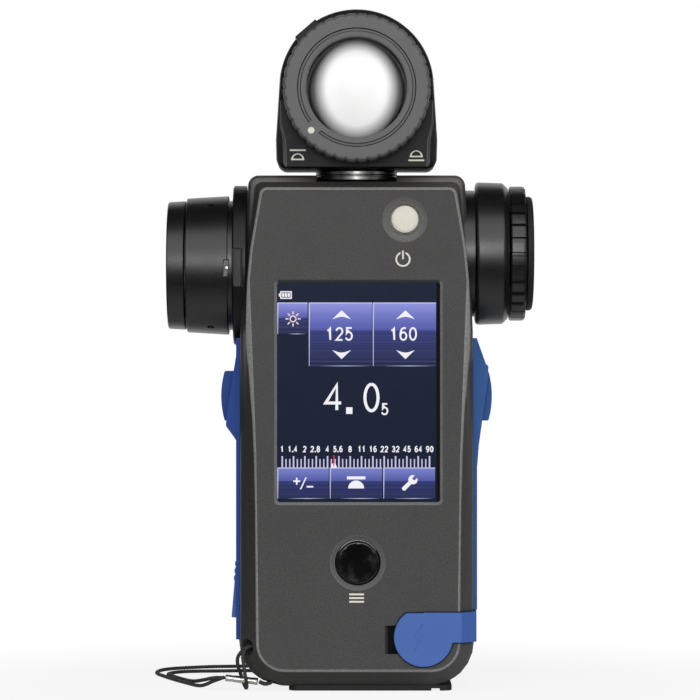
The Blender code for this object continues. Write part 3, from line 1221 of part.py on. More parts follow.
def strap_routes():
    """Routes of the attachment loop and of the two strands that lie on the floor behind the meter."""
    right = CRIMP_RIGHT_X + GAP
    left = CRIMP_LEFT_X - GAP
    loop = [
        crimp_end(right, -1),
        (CASE_LEFT_X + 6.5 * MM, -11.7 * MM, 1.7 * MM),
        (CASE_LEFT_X + 8.2 * MM, -12.0 * MM, 2.3 * MM),
        (CASE_LEFT_X + 9.0 * MM, -12.4 * MM, 4.2 * MM),
        (CASE_LEFT_X + 8.0 * MM, -12.8 * MM, 7.8 * MM),
        (CASE_LEFT_X + 5.4 * MM, -13.7 * MM, 11.2 * MM),
        (CASE_LEFT_X + 2.2 * MM, -14.8 * MM, 11.5 * MM),
        (CASE_LEFT_X + 0.9 * MM, -16.0 * MM, 9.8 * MM),
        (CASE_LEFT_X + 1.1 * MM, -16.7 * MM, 7.2 * MM),
        (CASE_LEFT_X + 1.4 * MM, -16.2 * MM, 4.6 * MM),
        (CASE_LEFT_X + 1.8 * MM, -14.5 * MM, 2.0 * MM),
        (CASE_LEFT_X + 1.6 * MM, -11.5 * MM, 0.7 * MM),
        (CASE_LEFT_X + 0.9 * MM, -9.3 * MM, 1.7 * MM),
        (CASE_LEFT_X + 0.1 * MM, -9.2 * MM, 4.1 * MM),
        (CASE_LEFT_X - 0.6 * MM, -11.8 * MM, 6.8 * MM),
        (CASE_LEFT_X - 0.3 * MM, -13.4 * MM, 9.2 * MM),
        (CASE_LEFT_X + 1.9 * MM, -13.6 * MM, 11.3 * MM),
        (CASE_LEFT_X + 4.9 * MM, -12.4 * MM, 11.2 * MM),
        (CASE_LEFT_X + 7.8 * MM, -11.4 * MM, 8.2 * MM),
        (CASE_LEFT_X + 9.1 * MM, -10.8 * MM, 4.4 * MM),
        (CASE_LEFT_X + 8.2 * MM, -10.5 * MM, 2.3 * MM),
        (CASE_LEFT_X + 6.5 * MM, -10.3 * MM, 1.7 * MM),
        crimp_end(right, 1),
    ]
    near_y = COIL_Y - COIL_OUTER
    far_y = COIL_Y + COIL_OUTER
    run_a = [
        crimp_end(left, -1),
        (CASE_LEFT_X - 6.9 * MM, -9.5 * MM, 3.1 * MM),
        (CASE_LEFT_X - 9.9 * MM, -3.0 * MM, 2.0 * MM),
        (CASE_LEFT_X - 13.4 * MM, 8.0 * MM, 0.8 * MM),
        (CASE_LEFT_X - 18.5 * MM, 24.0 * MM, CORD_Z),
        (CASE_LEFT_X - 20.5 * MM, 33.0 * MM, CORD_Z),
        (CASE_LEFT_X - 16.3 * MM, 40.4 * MM, CORD_Z),
        (CASE_LEFT_X - 3.9 * MM, near_y + 0.3 * MM, CORD_Z),
        (COIL_X - 10.0 * MM, near_y, COIL_Z),
        (COIL_X - COIL_LEAD - GAP, near_y, COIL_Z),
    ]
    run_b = [
        crimp_end(left, 1),
        (CASE_LEFT_X - 6.9 * MM, -8.4 * MM, 2.2 * MM),
        (CASE_LEFT_X - 10.5 * MM, -3.6 * MM, 0.6 * MM),
        (CASE_LEFT_X - 15.3 * MM, 7.4 * MM, CORD_Z),
        (CASE_LEFT_X - 20.7 * MM, 23.5 * MM, CORD_Z),
        (CASE_LEFT_X - 23.9 * MM, 37.0 * MM, CORD_Z),
        (CASE_LEFT_X - 21.3 * MM, 48.6 * MM, CORD_Z),
        (CASE_LEFT_X - 10.9 * MM, 56.0 * MM, CORD_Z),
        (CASE_LEFT_X + 3.1 * MM, far_y - 0.2 * MM, 0.8 * MM),
        (COIL_X - 10.0 * MM, far_y, COIL_Z + COIL_LAYER),
        (COIL_X - COIL_LEAD - GAP, far_y, COIL_Z + COIL_LAYER),
    ]
    return loop, run_a, run_b


def coil_points():
    """Spiral in on the floor, climb one layer in the half turn where it reverses, and spiral out."""
    count = round(COIL_SWEEP / (2 * math.pi) * COIL_STEPS)
    middle = COIL_SWEEP / 2
    points = [Vector((COIL_X - COIL_LEAD, COIL_Y - COIL_OUTER, COIL_Z))]
    for k in range(count + 1):
        turn = COIL_SWEEP * k / count
        reach = COIL_INNER + COIL_PITCH * abs(turn - middle) / (2 * math.pi)
        climb = min(max((turn - middle) / math.pi + 0.5, 0.0), 1.0)
        angle = turn - math.pi / 2
        rise = COIL_LAYER * climb * climb * (3 - 2 * climb)
        points.append(Vector((COIL_X + reach * math.cos(angle), COIL_Y + reach * math.sin(angle),
                              COIL_Z + rise)))
    points.append(Vector((COIL_X - COIL_LEAD, COIL_Y + COIL_OUTER, COIL_Z + COIL_LAYER)))
    return points


def least_gap(points, diameter):
    """Smallest clear space between stretches of a tube that are at least half a turn apart."""
    apart = COIL_STEPS // 2
    return min((a - b).length for i, a in enumerate(points) for b in points[i + apart:]) - diameter


def strap():
    loop, run_a, run_b = strap_routes()
    add_part(tube("strap_loop", smooth_route(loop, CORD_RADIUS * 2), CORD_RADIUS, 1), CORD_GREY)
    add_part(tube("strap_run_a", smooth_route(run_a, CORD_STEP), CORD_RADIUS, 2), CORD_GREY)
    add_part(tube("strap_run_b", smooth_route(run_b, CORD_STEP), CORD_RADIUS, 2), CORD_GREY)
    points = coil_points()
    print("least gap of the strap coil to itself, mm:", round(least_gap(points, 2 * CORD_RADIUS) / MM, 3))
    add_part(tube("strap_coil", points, CORD_RADIUS, 1), CORD_GREY)
    start = Vector(crimp_end(CRIMP_LEFT_X, 0))
    along = Vector(crimp_end(CRIMP_RIGHT_X, 0)) - start
    crimp = rod("strap_crimp", start, along.normalized(), along.length, CRIMP_RADIUS, sides=24)
    stretch = Matrix.Translation((0, STRAP_Y, 0)) @ Matrix.Diagonal((1, CRIMP_STRETCH, 1, 1))
    crimp.data.transform(stretch @ Matrix.Translation((0, -STRAP_Y, 0)))
    add_part(crimp, NICKEL)


front_shell()
rear_shell()
side_grip(-1, "left")
side_grip(1, "right")
side_button(-1, "measuring")
side_button(1, "memory")
display()
front_button("power", POWER_X, POWER_Z, POWER_RADIUS, IVORY)
front_button("menu", MENU_X, MENU_Z, MENU_RADIUS, GLOSS_BLACK)
case_screws()
objective()
finder_inside()
eyepiece()
head()
lumisphere()
cells()
radio()
base()
sockets()
strap()
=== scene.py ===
"""Handheld light meter: grey case with a lit display, finder across its top, swivel head with white dome."""
from math import cos, hypot, pi, radians, sin, tan

import bmesh
import bpy
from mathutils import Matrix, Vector


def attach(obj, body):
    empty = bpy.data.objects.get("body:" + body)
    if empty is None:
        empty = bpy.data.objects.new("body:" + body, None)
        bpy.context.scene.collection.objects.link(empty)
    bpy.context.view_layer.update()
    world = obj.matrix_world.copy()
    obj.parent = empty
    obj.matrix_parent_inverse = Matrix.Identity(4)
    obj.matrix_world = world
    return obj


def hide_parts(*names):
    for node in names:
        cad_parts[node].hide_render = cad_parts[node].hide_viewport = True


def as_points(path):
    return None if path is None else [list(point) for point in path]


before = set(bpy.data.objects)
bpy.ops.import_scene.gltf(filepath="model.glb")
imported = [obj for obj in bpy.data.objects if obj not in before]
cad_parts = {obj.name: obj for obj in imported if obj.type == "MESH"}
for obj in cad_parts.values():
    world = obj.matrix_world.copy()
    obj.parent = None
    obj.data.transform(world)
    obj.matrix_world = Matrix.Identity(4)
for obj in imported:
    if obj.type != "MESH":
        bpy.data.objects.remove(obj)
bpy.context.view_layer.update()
MM = 0.001

# Camera, level and a metre in front
CAMERA_PLACE = (-0.0017, -1.0, 0.0879)
CAMERA_LENS = 196.95
bpy.ops.object.select_all(action="DESELECT")
bpy.ops.object.camera_add(location=CAMERA_PLACE, rotation=(pi / 2, 0, 0))
eye = bpy.context.object
eye.name = "camera"
eye.data.lens = CAMERA_LENS
eye.data.sensor_width = 36
eye.data.clip_start = 0.01
bpy.context.scene.camera = eye
bpy.context.scene.view_settings.view_transform = "Standard"


# Handling of objects
def rest():
    """Back in object mode with nothing selected."""
    if bpy.context.object and bpy.context.object.mode != "OBJECT":
        bpy.ops.object.mode_set(mode="OBJECT")
    bpy.ops.object.select_all(action="DESELECT")


def work_on(*pieces):
    """Selects pieces, the first of them active."""
    rest()
    for piece in pieces:
        piece.select_set(True)
    bpy.context.view_layer.objects.active = pieces[0]


def edit(piece):
    """Opens the mesh of a piece with all of it selected."""
    work_on(piece)
    bpy.ops.object.mode_set(mode="EDIT")
    bpy.ops.mesh.select_all(action="SELECT")


def close_outward():
    """Turns the faces of the open mesh outwards and goes back to object mode."""
    bpy.ops.mesh.select_all(action="SELECT")
    bpy.ops.mesh.normals_make_consistent(inside=False)
    bpy.ops.object.mode_set(mode="OBJECT")


def named(name):
    piece = bpy.context.object
    piece.name = piece.data.name = name
    return piece


def apply(piece, kind, **settings):
    """Adds a modifier with its settings and applies it."""
    work_on(piece)
    change = piece.modifiers.new(kind.lower(), kind)
    for key, value in settings.items():
        setattr(change, key, value)
    bpy.ops.object.modifier_apply(modifier=change.name)
    return piece


def drawn(name, sections, hollow=False):
    """A solid drawn through outlines of equal length: a filled circle is put on the first and extruded on.
    A hollow one loses its two end faces, and the last outline is bridged back to the first."""
    rest()
    count = len(sections[0])
    bpy.ops.mesh.primitive_circle_add(vertices=count, radius=1, fill_type="NGON")
    piece = named(name)
    edit(piece)
    bpy.ops.mesh.select_mode(type="FACE")
    shape = bmesh.from_edit_mesh(piece.data)
    before = [Vector(place) * MM for place in sections[0]]
    for vert, place in zip(shape.verts, before):
        vert.co = place
    bmesh.update_edit_mesh(piece.data)
    for section in sections[1:]:
        bpy.ops.mesh.extrude_region_move()
        shape = bmesh.from_edit_mesh(piece.data)
        verts = list(next(face for face in shape.faces if face.select).verts)
        first = min(range(count), key=lambda i: (verts[i].co - before[0]).length)
        ahead = (verts[(first + 1) % count].co - before[1]).length
        step = 1 if ahead < (verts[first - 1].co - before[1]).length else -1
        before = [Vector(place) * MM for place in section]
        for k, place in enumerate(before):
            verts[(first + step * k) % count].co = place
        bmesh.update_edit_mesh(piece.data)
    if hollow:
        shape = bmesh.from_edit_mesh(piece.data)
        for face in shape.faces:
            face.select_set(len(face.verts) == count)
        bmesh.update_edit_mesh(piece.data)
        bpy.ops.mesh.delete(type="ONLY_FACE")
        bpy.ops.mesh.select_mode(type="EDGE")
        bpy.ops.mesh.select_all(action="DESELECT")
        bpy.ops.mesh.select_non_manifold()
        bpy.ops.mesh.bridge_edge_loops()
    close_outward()
    return piece


WAYS = {
    "left": ((-1, 0, 0), (0, -1, 0), (0, 0, 1)),
    "right": ((1, 0, 0), (0, 1, 0), (0, 0, 1)),
    "front": ((0, -1, 0), (1, 0, 0), (0, 0, 1)),
    "back": ((0, 1, 0), (-1, 0, 0), (0, 0, 1)),
    "up": ((0, 0, 1), (1, 0, 0), (0, 1, 0)),
}


def angles(count, whole=2 * pi):
    """Equal steps of an angle, without its end."""
    return [whole * k / count for k in range(count)]


def hoop(centre, way, reach, along, sides, ripple=None):
    """Points of a circle round an axis, its reach changed by a ripple of the angle."""
    out, across, up = (Vector(v) for v in WAYS[way])
    points = []
    for angle in angles(sides):
        spread = reach + (ripple(angle) if ripple else 0.0)
        points.append(Vector(centre) + out * along + (across * cos(angle) + up * sin(angle)) * spread)
    return points


def turned(name, centre, way, profile, sides=96, ripple=None, hollow=False):
    """A round piece whose profile lists (reach, height), with True where the ripple holds."""
    sections = [hoop(centre, way, step[0], step[1], sides, ripple if len(step) > 2 else None)
                for step in profile]
    return drawn(name, sections, hollow)


def rounded(corners, steps=8):
    """Outline in two directions through corners (across, up, radius), each rounded one an arc of steps."""
    points = []
    count = len(corners)
    for i, (x, z, radius) in enumerate(corners):
        here = Vector((x, z))
        if not radius:
            points.append(here)
            continue
        back = (Vector(corners[i - 1][:2]) - here).normalized()
        on = (Vector(corners[(i + 1) % count][:2]) - here).normalized()
        half = back.angle(on) / 2
        middle = here + (back + on).normalized() * radius / sin(half)
        start = here + back * radius / tan(half) - middle
        end = here + on * radius / tan(half) - middle
        turn = start.angle_signed(end)
        for k in range(steps + 1):
            angle = -turn * k / steps
            c, s = cos(angle), sin(angle)
            points.append(middle + Vector((start.x * c - start.y * s, start.x * s + start.y * c)))
    return points


def rounded_box(left, right, low, high, radius, steps=5):
    """Outline of a box with rounded corners."""
    return rounded([(right, low, radius), (right, high, radius), (left, high, radius), (left, low, radius)],
                   steps)


def mirrored(half):
    """Corners of the right half, from below upwards, and the same on the left."""
    return half + [(-x, z, radius) for x, z, radius in reversed(half)]


def upright(outline, y):
    """An outline in across and up, stood at one depth."""
    return [(p[0], y, p[1]) for p in outline]


def plan(outline, z):
    """An outline in across and depth, laid at one height."""
    return [(p[0], p[1], z) for p in outline]


def stack(outline, *steps):
    """Sections of one kind of outline, each with its own change of size and its depth."""
    return [outline(change, y) for change, y in steps]


def flat_piece(name, outline, front, back):
    """A plate of one outline between two depths."""
    return drawn(name, [upright(outline, front), upright(outline, back)])


def block(name, low, high):
    return flat_piece(name, [(low[0], low[2]), (high[0], low[2]), (high[0], high[2]), (low[0], high[2])],
                      low[1], high[1])


def joined(name, *pieces):
    """Several pieces made one object."""
    work_on(*pieces)
    bpy.ops.object.join()
    return named(name)


def cut(piece, *tools, operation="DIFFERENCE"):
    """Takes tools out of a piece one after another, or adds them to it."""
    for tool in tools:
        apply(piece, "BOOLEAN", object=tool, operation=operation, solver="EXACT")
        bpy.data.meshes.remove(tool.data)
    return piece


def soften(piece, width, segments=2, angle=28):
    """Rounds the edges of a piece and shades it smooth."""
    edit(piece)
    bpy.ops.mesh.remove_doubles(threshold=2e-6)
    bpy.ops.mesh.dissolve_limited(angle_limit=radians(1.0))
    bpy.ops.mesh.select_all(action="DESELECT")
    bpy.ops.object.mode_set(mode="OBJECT")
    if width:
        apply(piece, "BEVEL", width=width * MM, segments=segments, limit_method="ANGLE",
              angle_limit=radians(angle), use_clamp_overlap=False)
    work_on(piece)
    bpy.ops.object.shade_smooth_by_angle(angle=radians(35))
    return apply(piece, "WEIGHTED_NORMAL", keep_sharp=True)


def recast(node, width=0.3, segments=2, angle=28):
    """A moulded copy of a solid of the frame, its triangles joined and its edges rounded."""
    rest()
    piece = bpy.data.objects.new(node + "_moulded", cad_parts[node].data.copy())
    piece.data.materials.clear()
    bpy.context.collection.objects.link(piece)
    return soften(piece, width, segments, angle)


def fit(piece, body, finish, *nodes, slot=None):
    """Puts a piece on its body with its finish, in place of nodes of the frame."""
    piece.data.materials.clear()
    piece.data.materials.append(finish.material)
    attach(piece, body)
    if nodes:
        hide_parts(*nodes)
    return piece


def paint(piece, finish, rule):
    """A second finish on the faces whose middle and normal fit a rule, in millimetres."""
    piece.data.materials.append(finish.material)
    index = len(piece.data.materials) - 1
    for face in piece.data.polygons:
        if rule(face.center / MM, face.normal):
            face.material_index = index
    return piece


# Finishes
class Value:
    """A socket of a finish, whose arithmetic adds Math nodes."""

    def __init__(self, finish, socket):
        self.finish = finish
        self.socket = socket

    def math(self, operation, first, second):
        return self.finish.node("Math", {"operation": operation}, {0: first, 1: second})

    def __add__(self, other):
        return self.math("ADD", self, other)

    def __radd__(self, other):
        return self.math("ADD", other, self)

    def __sub__(self, other):
        return self.math("SUBTRACT", self, other)

    def __rsub__(self, other):
        return self.math("SUBTRACT", other, self)

    def __mul__(self, other):
        return self.math("MULTIPLY", self, other)

    def __rmul__(self, other):
        return self.math("MULTIPLY", other, self)

    def __gt__(self, other):
        return self.math("GREATER_THAN", self, other)

    def __lt__(self, other):
        return self.math("LESS_THAN", self, other)


class Wiring:
    """The nodes of a finish or of the surroundings."""

    def __init__(self, owner):
        owner.use_nodes = True
        self.tree = owner.node_tree

    def feed(self, socket, value):
        if isinstance(value, Value):
            self.tree.links.new(value.socket, socket)
        else:
            socket.default_value = value

    def node(self, kind, settings, inputs, output=0):
        """Adds a node: its settings first, such as a ramp's stops, then values or links of its sockets."""
        made = self.tree.nodes.new("ShaderNode" + kind)
        for key, value in settings.items():
            if key == "stops":
                ends = made.color_ramp.elements
                ends[0].color, ends[-1].color = (*value[0][1], 1.0), (*value[-1][1], 1.0)
                for place, colour in value[1:-1]:
                    ends.new(place).color = (*colour, 1.0)
            else:
                setattr(made, key, value)
        for key, value in inputs.items():
            self.feed(made.inputs[key], value)
        return Value(self, made.outputs[output])


class Finish(Wiring):
    """A material whose pattern lies on Object coordinates, in metres."""

    def __init__(self, name, **sockets):
        self.material = bpy.data.materials.new(name)
        super().__init__(self.material)
        self.shader = self.tree.nodes["Principled BSDF"]
        self.place = self.node("TexCoord", {}, {}, "Object")
        self.set(**sockets)

    def set(self, **sockets):
        """Sets sockets of the surface, whose names have _ for a space."""
        for key, value in sockets.items():
            self.feed(self.shader.inputs[key.replace("_", " ")], value)
        return self

    def noise(self, size, detail=2.0, stretch=None):
        """Noise whose lumps are about size millimetres, drawn out along an axis by a stretch."""
        place = self.place
        if stretch:
            place = self.node("Mapping", {}, {"Vector": place, "Scale": stretch})
        return self.node("TexNoise", {}, {"Vector": place, "Scale": 1.0 / (size * MM), "Detail": detail})

    def mix(self, factor, first, second):
        """A colour between two, of which either may be a socket."""
        ends = [end if isinstance(end, Value) else (*end, 1.0) for end in (first, second)]
        return self.node("Mix", {"data_type": "RGBA"}, {0: factor, 6: ends[0], 7: ends[1]}, 2)

    def part(self, axis):
        """One of the coordinates of the place on the piece."""
        return self.node("SeparateXYZ", {}, {0: self.place}, axis)

    def band(self, value, low, high):
        """0 below low and 1 above high."""
        return self.node("MapRange", {"clamp": True}, {0: value, 1: low, 2: high, 3: 0.0, 4: 1.0})

    def bump(self, height, depth):
        """Relief of a height from 0 to 1 and a depth in millimetres."""
        relief = self.node("Bump", {}, {"Strength": 1.0, "Distance": depth * MM, "Height": height})
        return self.set(Normal=relief)



def moulded(name, dark, light, rough, grain=0.32, depth=0.012, specular=0.35, **sockets):
    """Moulded plastic: fine flecks, slow change of tone, uneven dullness, and grain in relief."""
    made = Finish(name, Specular_IOR_Level=specular, **sockets)
    fleck = made.band(made.noise(grain, 3.0), 0.34, 0.66)
    cloud = made.noise(22.0, 2.0)
    tone = made.mix(fleck, dark, light)
    made.set(Base_Color=made.mix(made.band(cloud, 0.3, 0.8) * 0.16, tone, tuple(0.75 * c for c in dark)))
    made.set(Roughness=rough + 0.10 * made.noise(6.0) + 0.06 * fleck - 0.08)
    return made.bump(fleck, depth)


def grey(value, warm=0.0):
    return (value * (1 + warm), value, value * (1 - warm))


def shaded_case(name, rim=False):
    """The case grey darkened with painted shade, as its sloped sides look where the light falls away;
    painted light makes it lighter towards its right side, and on request a painted highlight runs along its
    upper rim.
    """
    made = moulded(name, grey(0.026, 0.04), grey(0.046, 0.04), 0.44, specular=0.25)
    across, depth, height = (made.part(axis) for axis in range(3))
    # Painted light: a lighter tone towards the right side, where the light falls.
    shares = [(made.band(across, 0.012, 0.030), grey(0.052, 0.03), grey(0.088, 0.03))]
    # Painted highlight along the upper rim, kept away from the middle under the head.
    if rim:
        outer = made.band(across.math("ABSOLUTE", across, 0.0), 0.008, 0.021)
        outer *= made.band(height, 0.117, 0.131)
        shares.append((outer * made.band(0.0 - depth, 0.0125, 0.0135), grey(0.14, 0.02), grey(0.20, 0.02)))
    for share, dark, light in shares:
        tone = Value(made, made.shader.inputs["Base Color"].links[0].from_socket)
        made.set(Base_Color=made.mix(share, tone, made.mix(made.noise(0.32, 3.0), dark, light)))
    return made


CASE_GREY = moulded("case_grey", grey(0.040, 0.02), grey(0.072, 0.02), 0.46, specular=0.22)
# Painted shade: the darker copy of the case grey for the sloped sides round the raised face.
CASE_SHADED = shaded_case("case_shaded")
# Painted highlight: the shaded case grey with a lighter band along its upper rim.
CASE_LIT_RIM = shaded_case("case_lit_rim", True)
# Painted highlight: a pale grey for the rounded edge of the raised front face.
EDGE_HIGHLIGHT = moulded("case_edge_highlight", grey(0.16, 0.01), grey(0.23, 0.01), 0.40, grain=0.6)
# Painted light: a paler copy of the case grey for the sunk dishes round the keys.
DISH_LIT_GREY = moulded("dish_lit_grey", grey(0.11, 0.01), grey(0.16, 0.01), 0.44)
# Painted highlight: a paler grey for the lit slopes of the screen opening.
WINDOW_EDGE_HIGHLIGHT = moulded("window_edge_highlight", grey(0.15, 0.01), grey(0.21, 0.01), 0.42, grain=0.5)
HEAD_BLACK = moulded("head_black", grey(0.009), grey(0.018), 0.42, grain=0.4, specular=0.14)
# Painted light and shade: a lighter copy of the head black for the raised cheeks, also laid in the ring's
# groove as painted shade.
CHEEK_LIGHT_AND_GROOVE_SHADE = moulded("cheek_light_and_groove_shade", grey(0.020), grey(0.032), 0.42, grain=0.4, specular=0.16)
# Painted highlight: a paler copy of the head black for the crease walls beside the cheeks.
CREASE_HIGHLIGHT = moulded("crease_highlight", grey(0.12), grey(0.18), 0.40, grain=0.4, specular=0.2)
BARREL_BLACK = moulded("barrel_black", grey(0.004), grey(0.010), 0.34, grain=0.28, depth=0.006,
                       specular=0.7)
FLANGE_BLACK = moulded("flange_black", grey(0.003), grey(0.007), 0.40, grain=0.28, depth=0.006,
                       specular=0.32)
RING_GREY = moulded("ring_grey", grey(0.092), grey(0.132), 0.46, grain=0.25, depth=0.008)
BLUE = moulded("blue_rubber", (0.042, 0.116, 0.385), (0.062, 0.152, 0.465), 0.52, grain=0.22, depth=0.006)
# Painted shade: copies of the blue rubber, darkest for the left side and less dark for the right.
BLUE_SHADED_LEFT = moulded("blue_shaded_left", (0.0135, 0.053, 0.255), (0.020, 0.073, 0.320), 0.55, grain=0.22,
                    depth=0.006, specular=0.2)
BLUE_SHADED_RIGHT = moulded("blue_shaded_right", (0.026, 0.090, 0.285), (0.039, 0.120, 0.355), 0.55, grain=0.22,
                     depth=0.006, specular=0.2)
IVORY = moulded("ivory_key", (0.68, 0.65, 0.56), (0.75, 0.72, 0.62), 0.36, grain=0.5, depth=0.002)
PAD_BLACK = moulded("pad_rubber", grey(0.010), grey(0.020), 0.66, grain=0.5, depth=0.02)
PRINT = moulded("cream_print", (0.70, 0.69, 0.61), (0.82, 0.81, 0.73), 0.5, grain=0.2, depth=0.002)
SHADE = moulded("inner_black", grey(0.003), grey(0.006), 0.7, grain=0.3, specular=0.1)


def gloss_black():
    made = Finish("gloss_black", Specular_IOR_Level=0.4, Coat_Roughness=0.03)
    smear = made.band(made.noise(3.0, 4.0), 0.45, 0.75)
    made.set(Base_Color=made.mix(smear, grey(0.004), grey(0.007)), Roughness=0.07 + 0.10 * smear)
    return made.bump(made.noise(8.0), 0.004)


def metal(name, dark, light, rough):
    """Drawn metal with fine lines along X and dull specks."""
    made = Finish(name, Metallic=1.0)
    lines = made.noise(0.12, 2.0, (0.06, 1.0, 1.0))
    specks = made.band(made.noise(0.8, 4.0), 0.5, 0.75)
    made.set(Base_Color=made.mix(lines, dark, light), Roughness=rough + 0.14 * lines + 0.16 * specks)
    return made.bump(lines, 0.004)


DOME_PAINTED_GLOW = (0.0095, 0.0117)
DOME_HEIGHT = 0.1549


def dome_white():
    """Opal white plastic with a painted glow: light given off by the dome itself over an oval round its
    middle.
    """
    made = Finish("dome_white", Specular_IOR_Level=0.25, Subsurface_Weight=0.25, Subsurface_Scale=0.001)
    made.shader.inputs["Subsurface Radius"].default_value = (1.0, 0.9, 0.8)
    cloud = made.noise(7.0, 3.0)
    made.set(Base_Color=made.mix(cloud, (0.57, 0.57, 0.565), (0.61, 0.61, 0.605)),
             Roughness=0.42 + 0.12 * cloud)
    # The painted glow, brightest a little inside the edge of the oval and fading out just beyond it.
    across, up = DOME_PAINTED_GLOW
    place = made.node("Mapping", {}, {"Vector": made.place, "Location": (0, 0, -DOME_HEIGHT / up),
                                      "Scale": (1 / across, 0, 1 / up)})
    reach = made.node("VectorMath", {"operation": "LENGTH"}, {0: place}, "Value")
    tones = [(0.0, 0.40), (0.35, 0.45), (0.66, 0.62), (0.82, 0.24), (0.95, 0.0), (1.0, 0.0)]
    stops = [(share, grey(tone)) for share, tone in tones]
    glow = made.node("ValToRGB", {"stops": stops}, {0: reach * 0.82})
    made.set(Emission_Color=glow, Emission_Strength=1.0)
    return made.bump(made.noise(0.5), 0.003)


def clear_glass():
    """Coated glass: dark, with a violet and green cast that changes across it."""
    made = Finish("coated_glass", Specular_IOR_Level=0.6, Coat_Weight=1.0, Coat_Roughness=0.02)
    cast = made.band(made.noise(9.0, 1.0), 0.35, 0.65)
    made.set(Base_Color=made.mix(cast, (0.010, 0.006, 0.022), (0.004, 0.018, 0.014)),
             Roughness=0.04 + 0.05 * cast)
    return made


def circuit():
    """Green board with copper runs and pale pads."""
    made = Finish("circuit_board", Specular_IOR_Level=0.5)
    runs = made.node("TexBrick", {"offset": 0.5},
                     {"Vector": made.place, "Scale": 220.0, "Mortar Size": 0.06, "Brick Width": 0.9}, "Fac")
    pads = made.node("TexVoronoi", {}, {"Vector": made.place, "Scale": 420.0}, "Distance") < 0.16
    board = made.mix(runs * 0.7, (0.010, 0.060, 0.026), (0.030, 0.130, 0.050))
    made.set(Base_Color=made.mix(pads, board, (0.55, 0.50, 0.36)), Roughness=0.38 + 0.2 * made.noise(2.0))
    return made.bump(runs, 0.02)


def cell_sleeve():
    """Plain cell sleeve: dark, with a copper band at its upper end, and thin wear lines."""
    made = Finish("cell_sleeve", Specular_IOR_Level=0.5, Coat_Weight=0.4)
    top = made.part(2) > 0.052
    wear = made.band(made.noise(1.4, 4.0, (1.0, 1.0, 0.2)), 0.56, 0.7)
    sleeve = made.mix(top, (0.010, 0.011, 0.012), (0.45, 0.20, 0.07))
    made.set(Base_Color=made.mix(wear * 0.3, sleeve, (0.3, 0.3, 0.3)), Roughness=0.26 + 0.2 * wear,
             Metallic=top * 0.8)
    return made


def cord_fibre():
    """Spun black cord: fine threads, paler where they stand up."""
    made = Finish("cord_fibre", Specular_IOR_Level=0.3)
    threads = made.noise(0.16, 3.0)
    made.set(Base_Color=made.mix(made.band(threads, 0.35, 0.7), (0.016, 0.015, 0.016),
                                 (0.075, 0.070, 0.072)),
             Roughness=0.62 + 0.2 * threads)
    return made.bump(threads, 0.05)


GLOSS_BLACK = gloss_black()
NICKEL = metal("nickel", (0.50, 0.48, 0.44), (0.78, 0.76, 0.70), 0.20)
BRASS = metal("brass", (0.42, 0.28, 0.10), (0.70, 0.52, 0.24), 0.26)
NECK_METAL = metal("neck_metal", (0.16, 0.16, 0.155), (0.30, 0.30, 0.29), 0.24)
STEEL = metal("black_steel", (0.03, 0.03, 0.03), (0.09, 0.09, 0.09), 0.34)
DOME_WHITE = dome_white()
COATED_GLASS = clear_glass()
CIRCUIT = circuit()
CELL_SLEEVE = cell_sleeve()
CORD_FIBRE = cord_fibre()


# Wrist strap
CORD_ACROSS = 1.0
COIL_CENTRE = (-4.0, 50.0)
COIL_INNER = 3.4
COIL_PITCH = 1.5
COIL_TURNS = 5.5
COIL_LOW = 0.8
COIL_LAYER = 1.5
COIL_OUTER = COIL_INNER + COIL_PITCH * COIL_TURNS / 2
STRANDS_OUT, STRANDS_IN = -34.2, -25.2
CRIMP_OUT, CRIMP_IN = -33.9, -25.5


def smooth_route(route, step):
    """Evenly spaced points on a smooth curve through the points of a route."""
    places = [Vector(place) for place in route]
    places = [2 * places[0] - places[1]] + places + [2 * places[-1] - places[-2]]
    fine = []
    for before, start, end, after in zip(places, places[1:], places[2:], places[3:]):
        for k in range(40):
            t = k / 40
            square = 2 * before - 5 * start + 4 * end - after
            cube = 3 * start - before - 3 * end + after
            fine.append(0.5 * (2 * start + (end - before) * t + square * t ** 2 + cube * t ** 3))
    fine.append(places[-2])
    lengths = [0.0]
    for start, end in zip(fine, fine[1:]):
        lengths.append(lengths[-1] + (end - start).length)
    count = max(2, round(lengths[-1] / step))
    points, i = [], 0
    for k in range(count + 1):
        want = lengths[-1] * k / count
        while i < len(fine) - 2 and lengths[i + 1] < want:
            i += 1
        span = lengths[i + 1] - lengths[i]
        points.append(fine[i].lerp(fine[i + 1], (want - lengths[i]) / span if span else 0.0))
    return points


def crimp_end(x, side):
    """Where the middle of a strand meets the crimp."""
    return (x, -11.0 + 0.7 * side, 2.3 - (x - CRIMP_IN) / 8.4)


def coil():
    """Points of the coil: in on the floor, up one layer where it turns back, and out again."""
    points = [(COIL_CENTRE[0] - 1.0, COIL_CENTRE[1] - COIL_OUTER, COIL_LOW)]
    sweep = 2 * pi * COIL_TURNS
    count = round(COIL_TURNS * 24)
    for k in range(count + 1):
        turn = sweep * k / count
        reach = COIL_INNER + COIL_PITCH * abs(turn - sweep / 2) / (2 * pi)
        climb = min(max((turn - sweep / 2) / pi + 0.5, 0.0), 1.0)
        angle = turn - pi / 2
        points.append((COIL_CENTRE[0] + reach * cos(angle), COIL_CENTRE[1] + reach * sin(angle),
                       COIL_LOW + COIL_LAYER * climb * climb * (3 - 2 * climb)))
    points.append((COIL_CENTRE[0] - 1.0, COIL_CENTRE[1] + COIL_OUTER, COIL_LOW + COIL_LAYER))
    return points


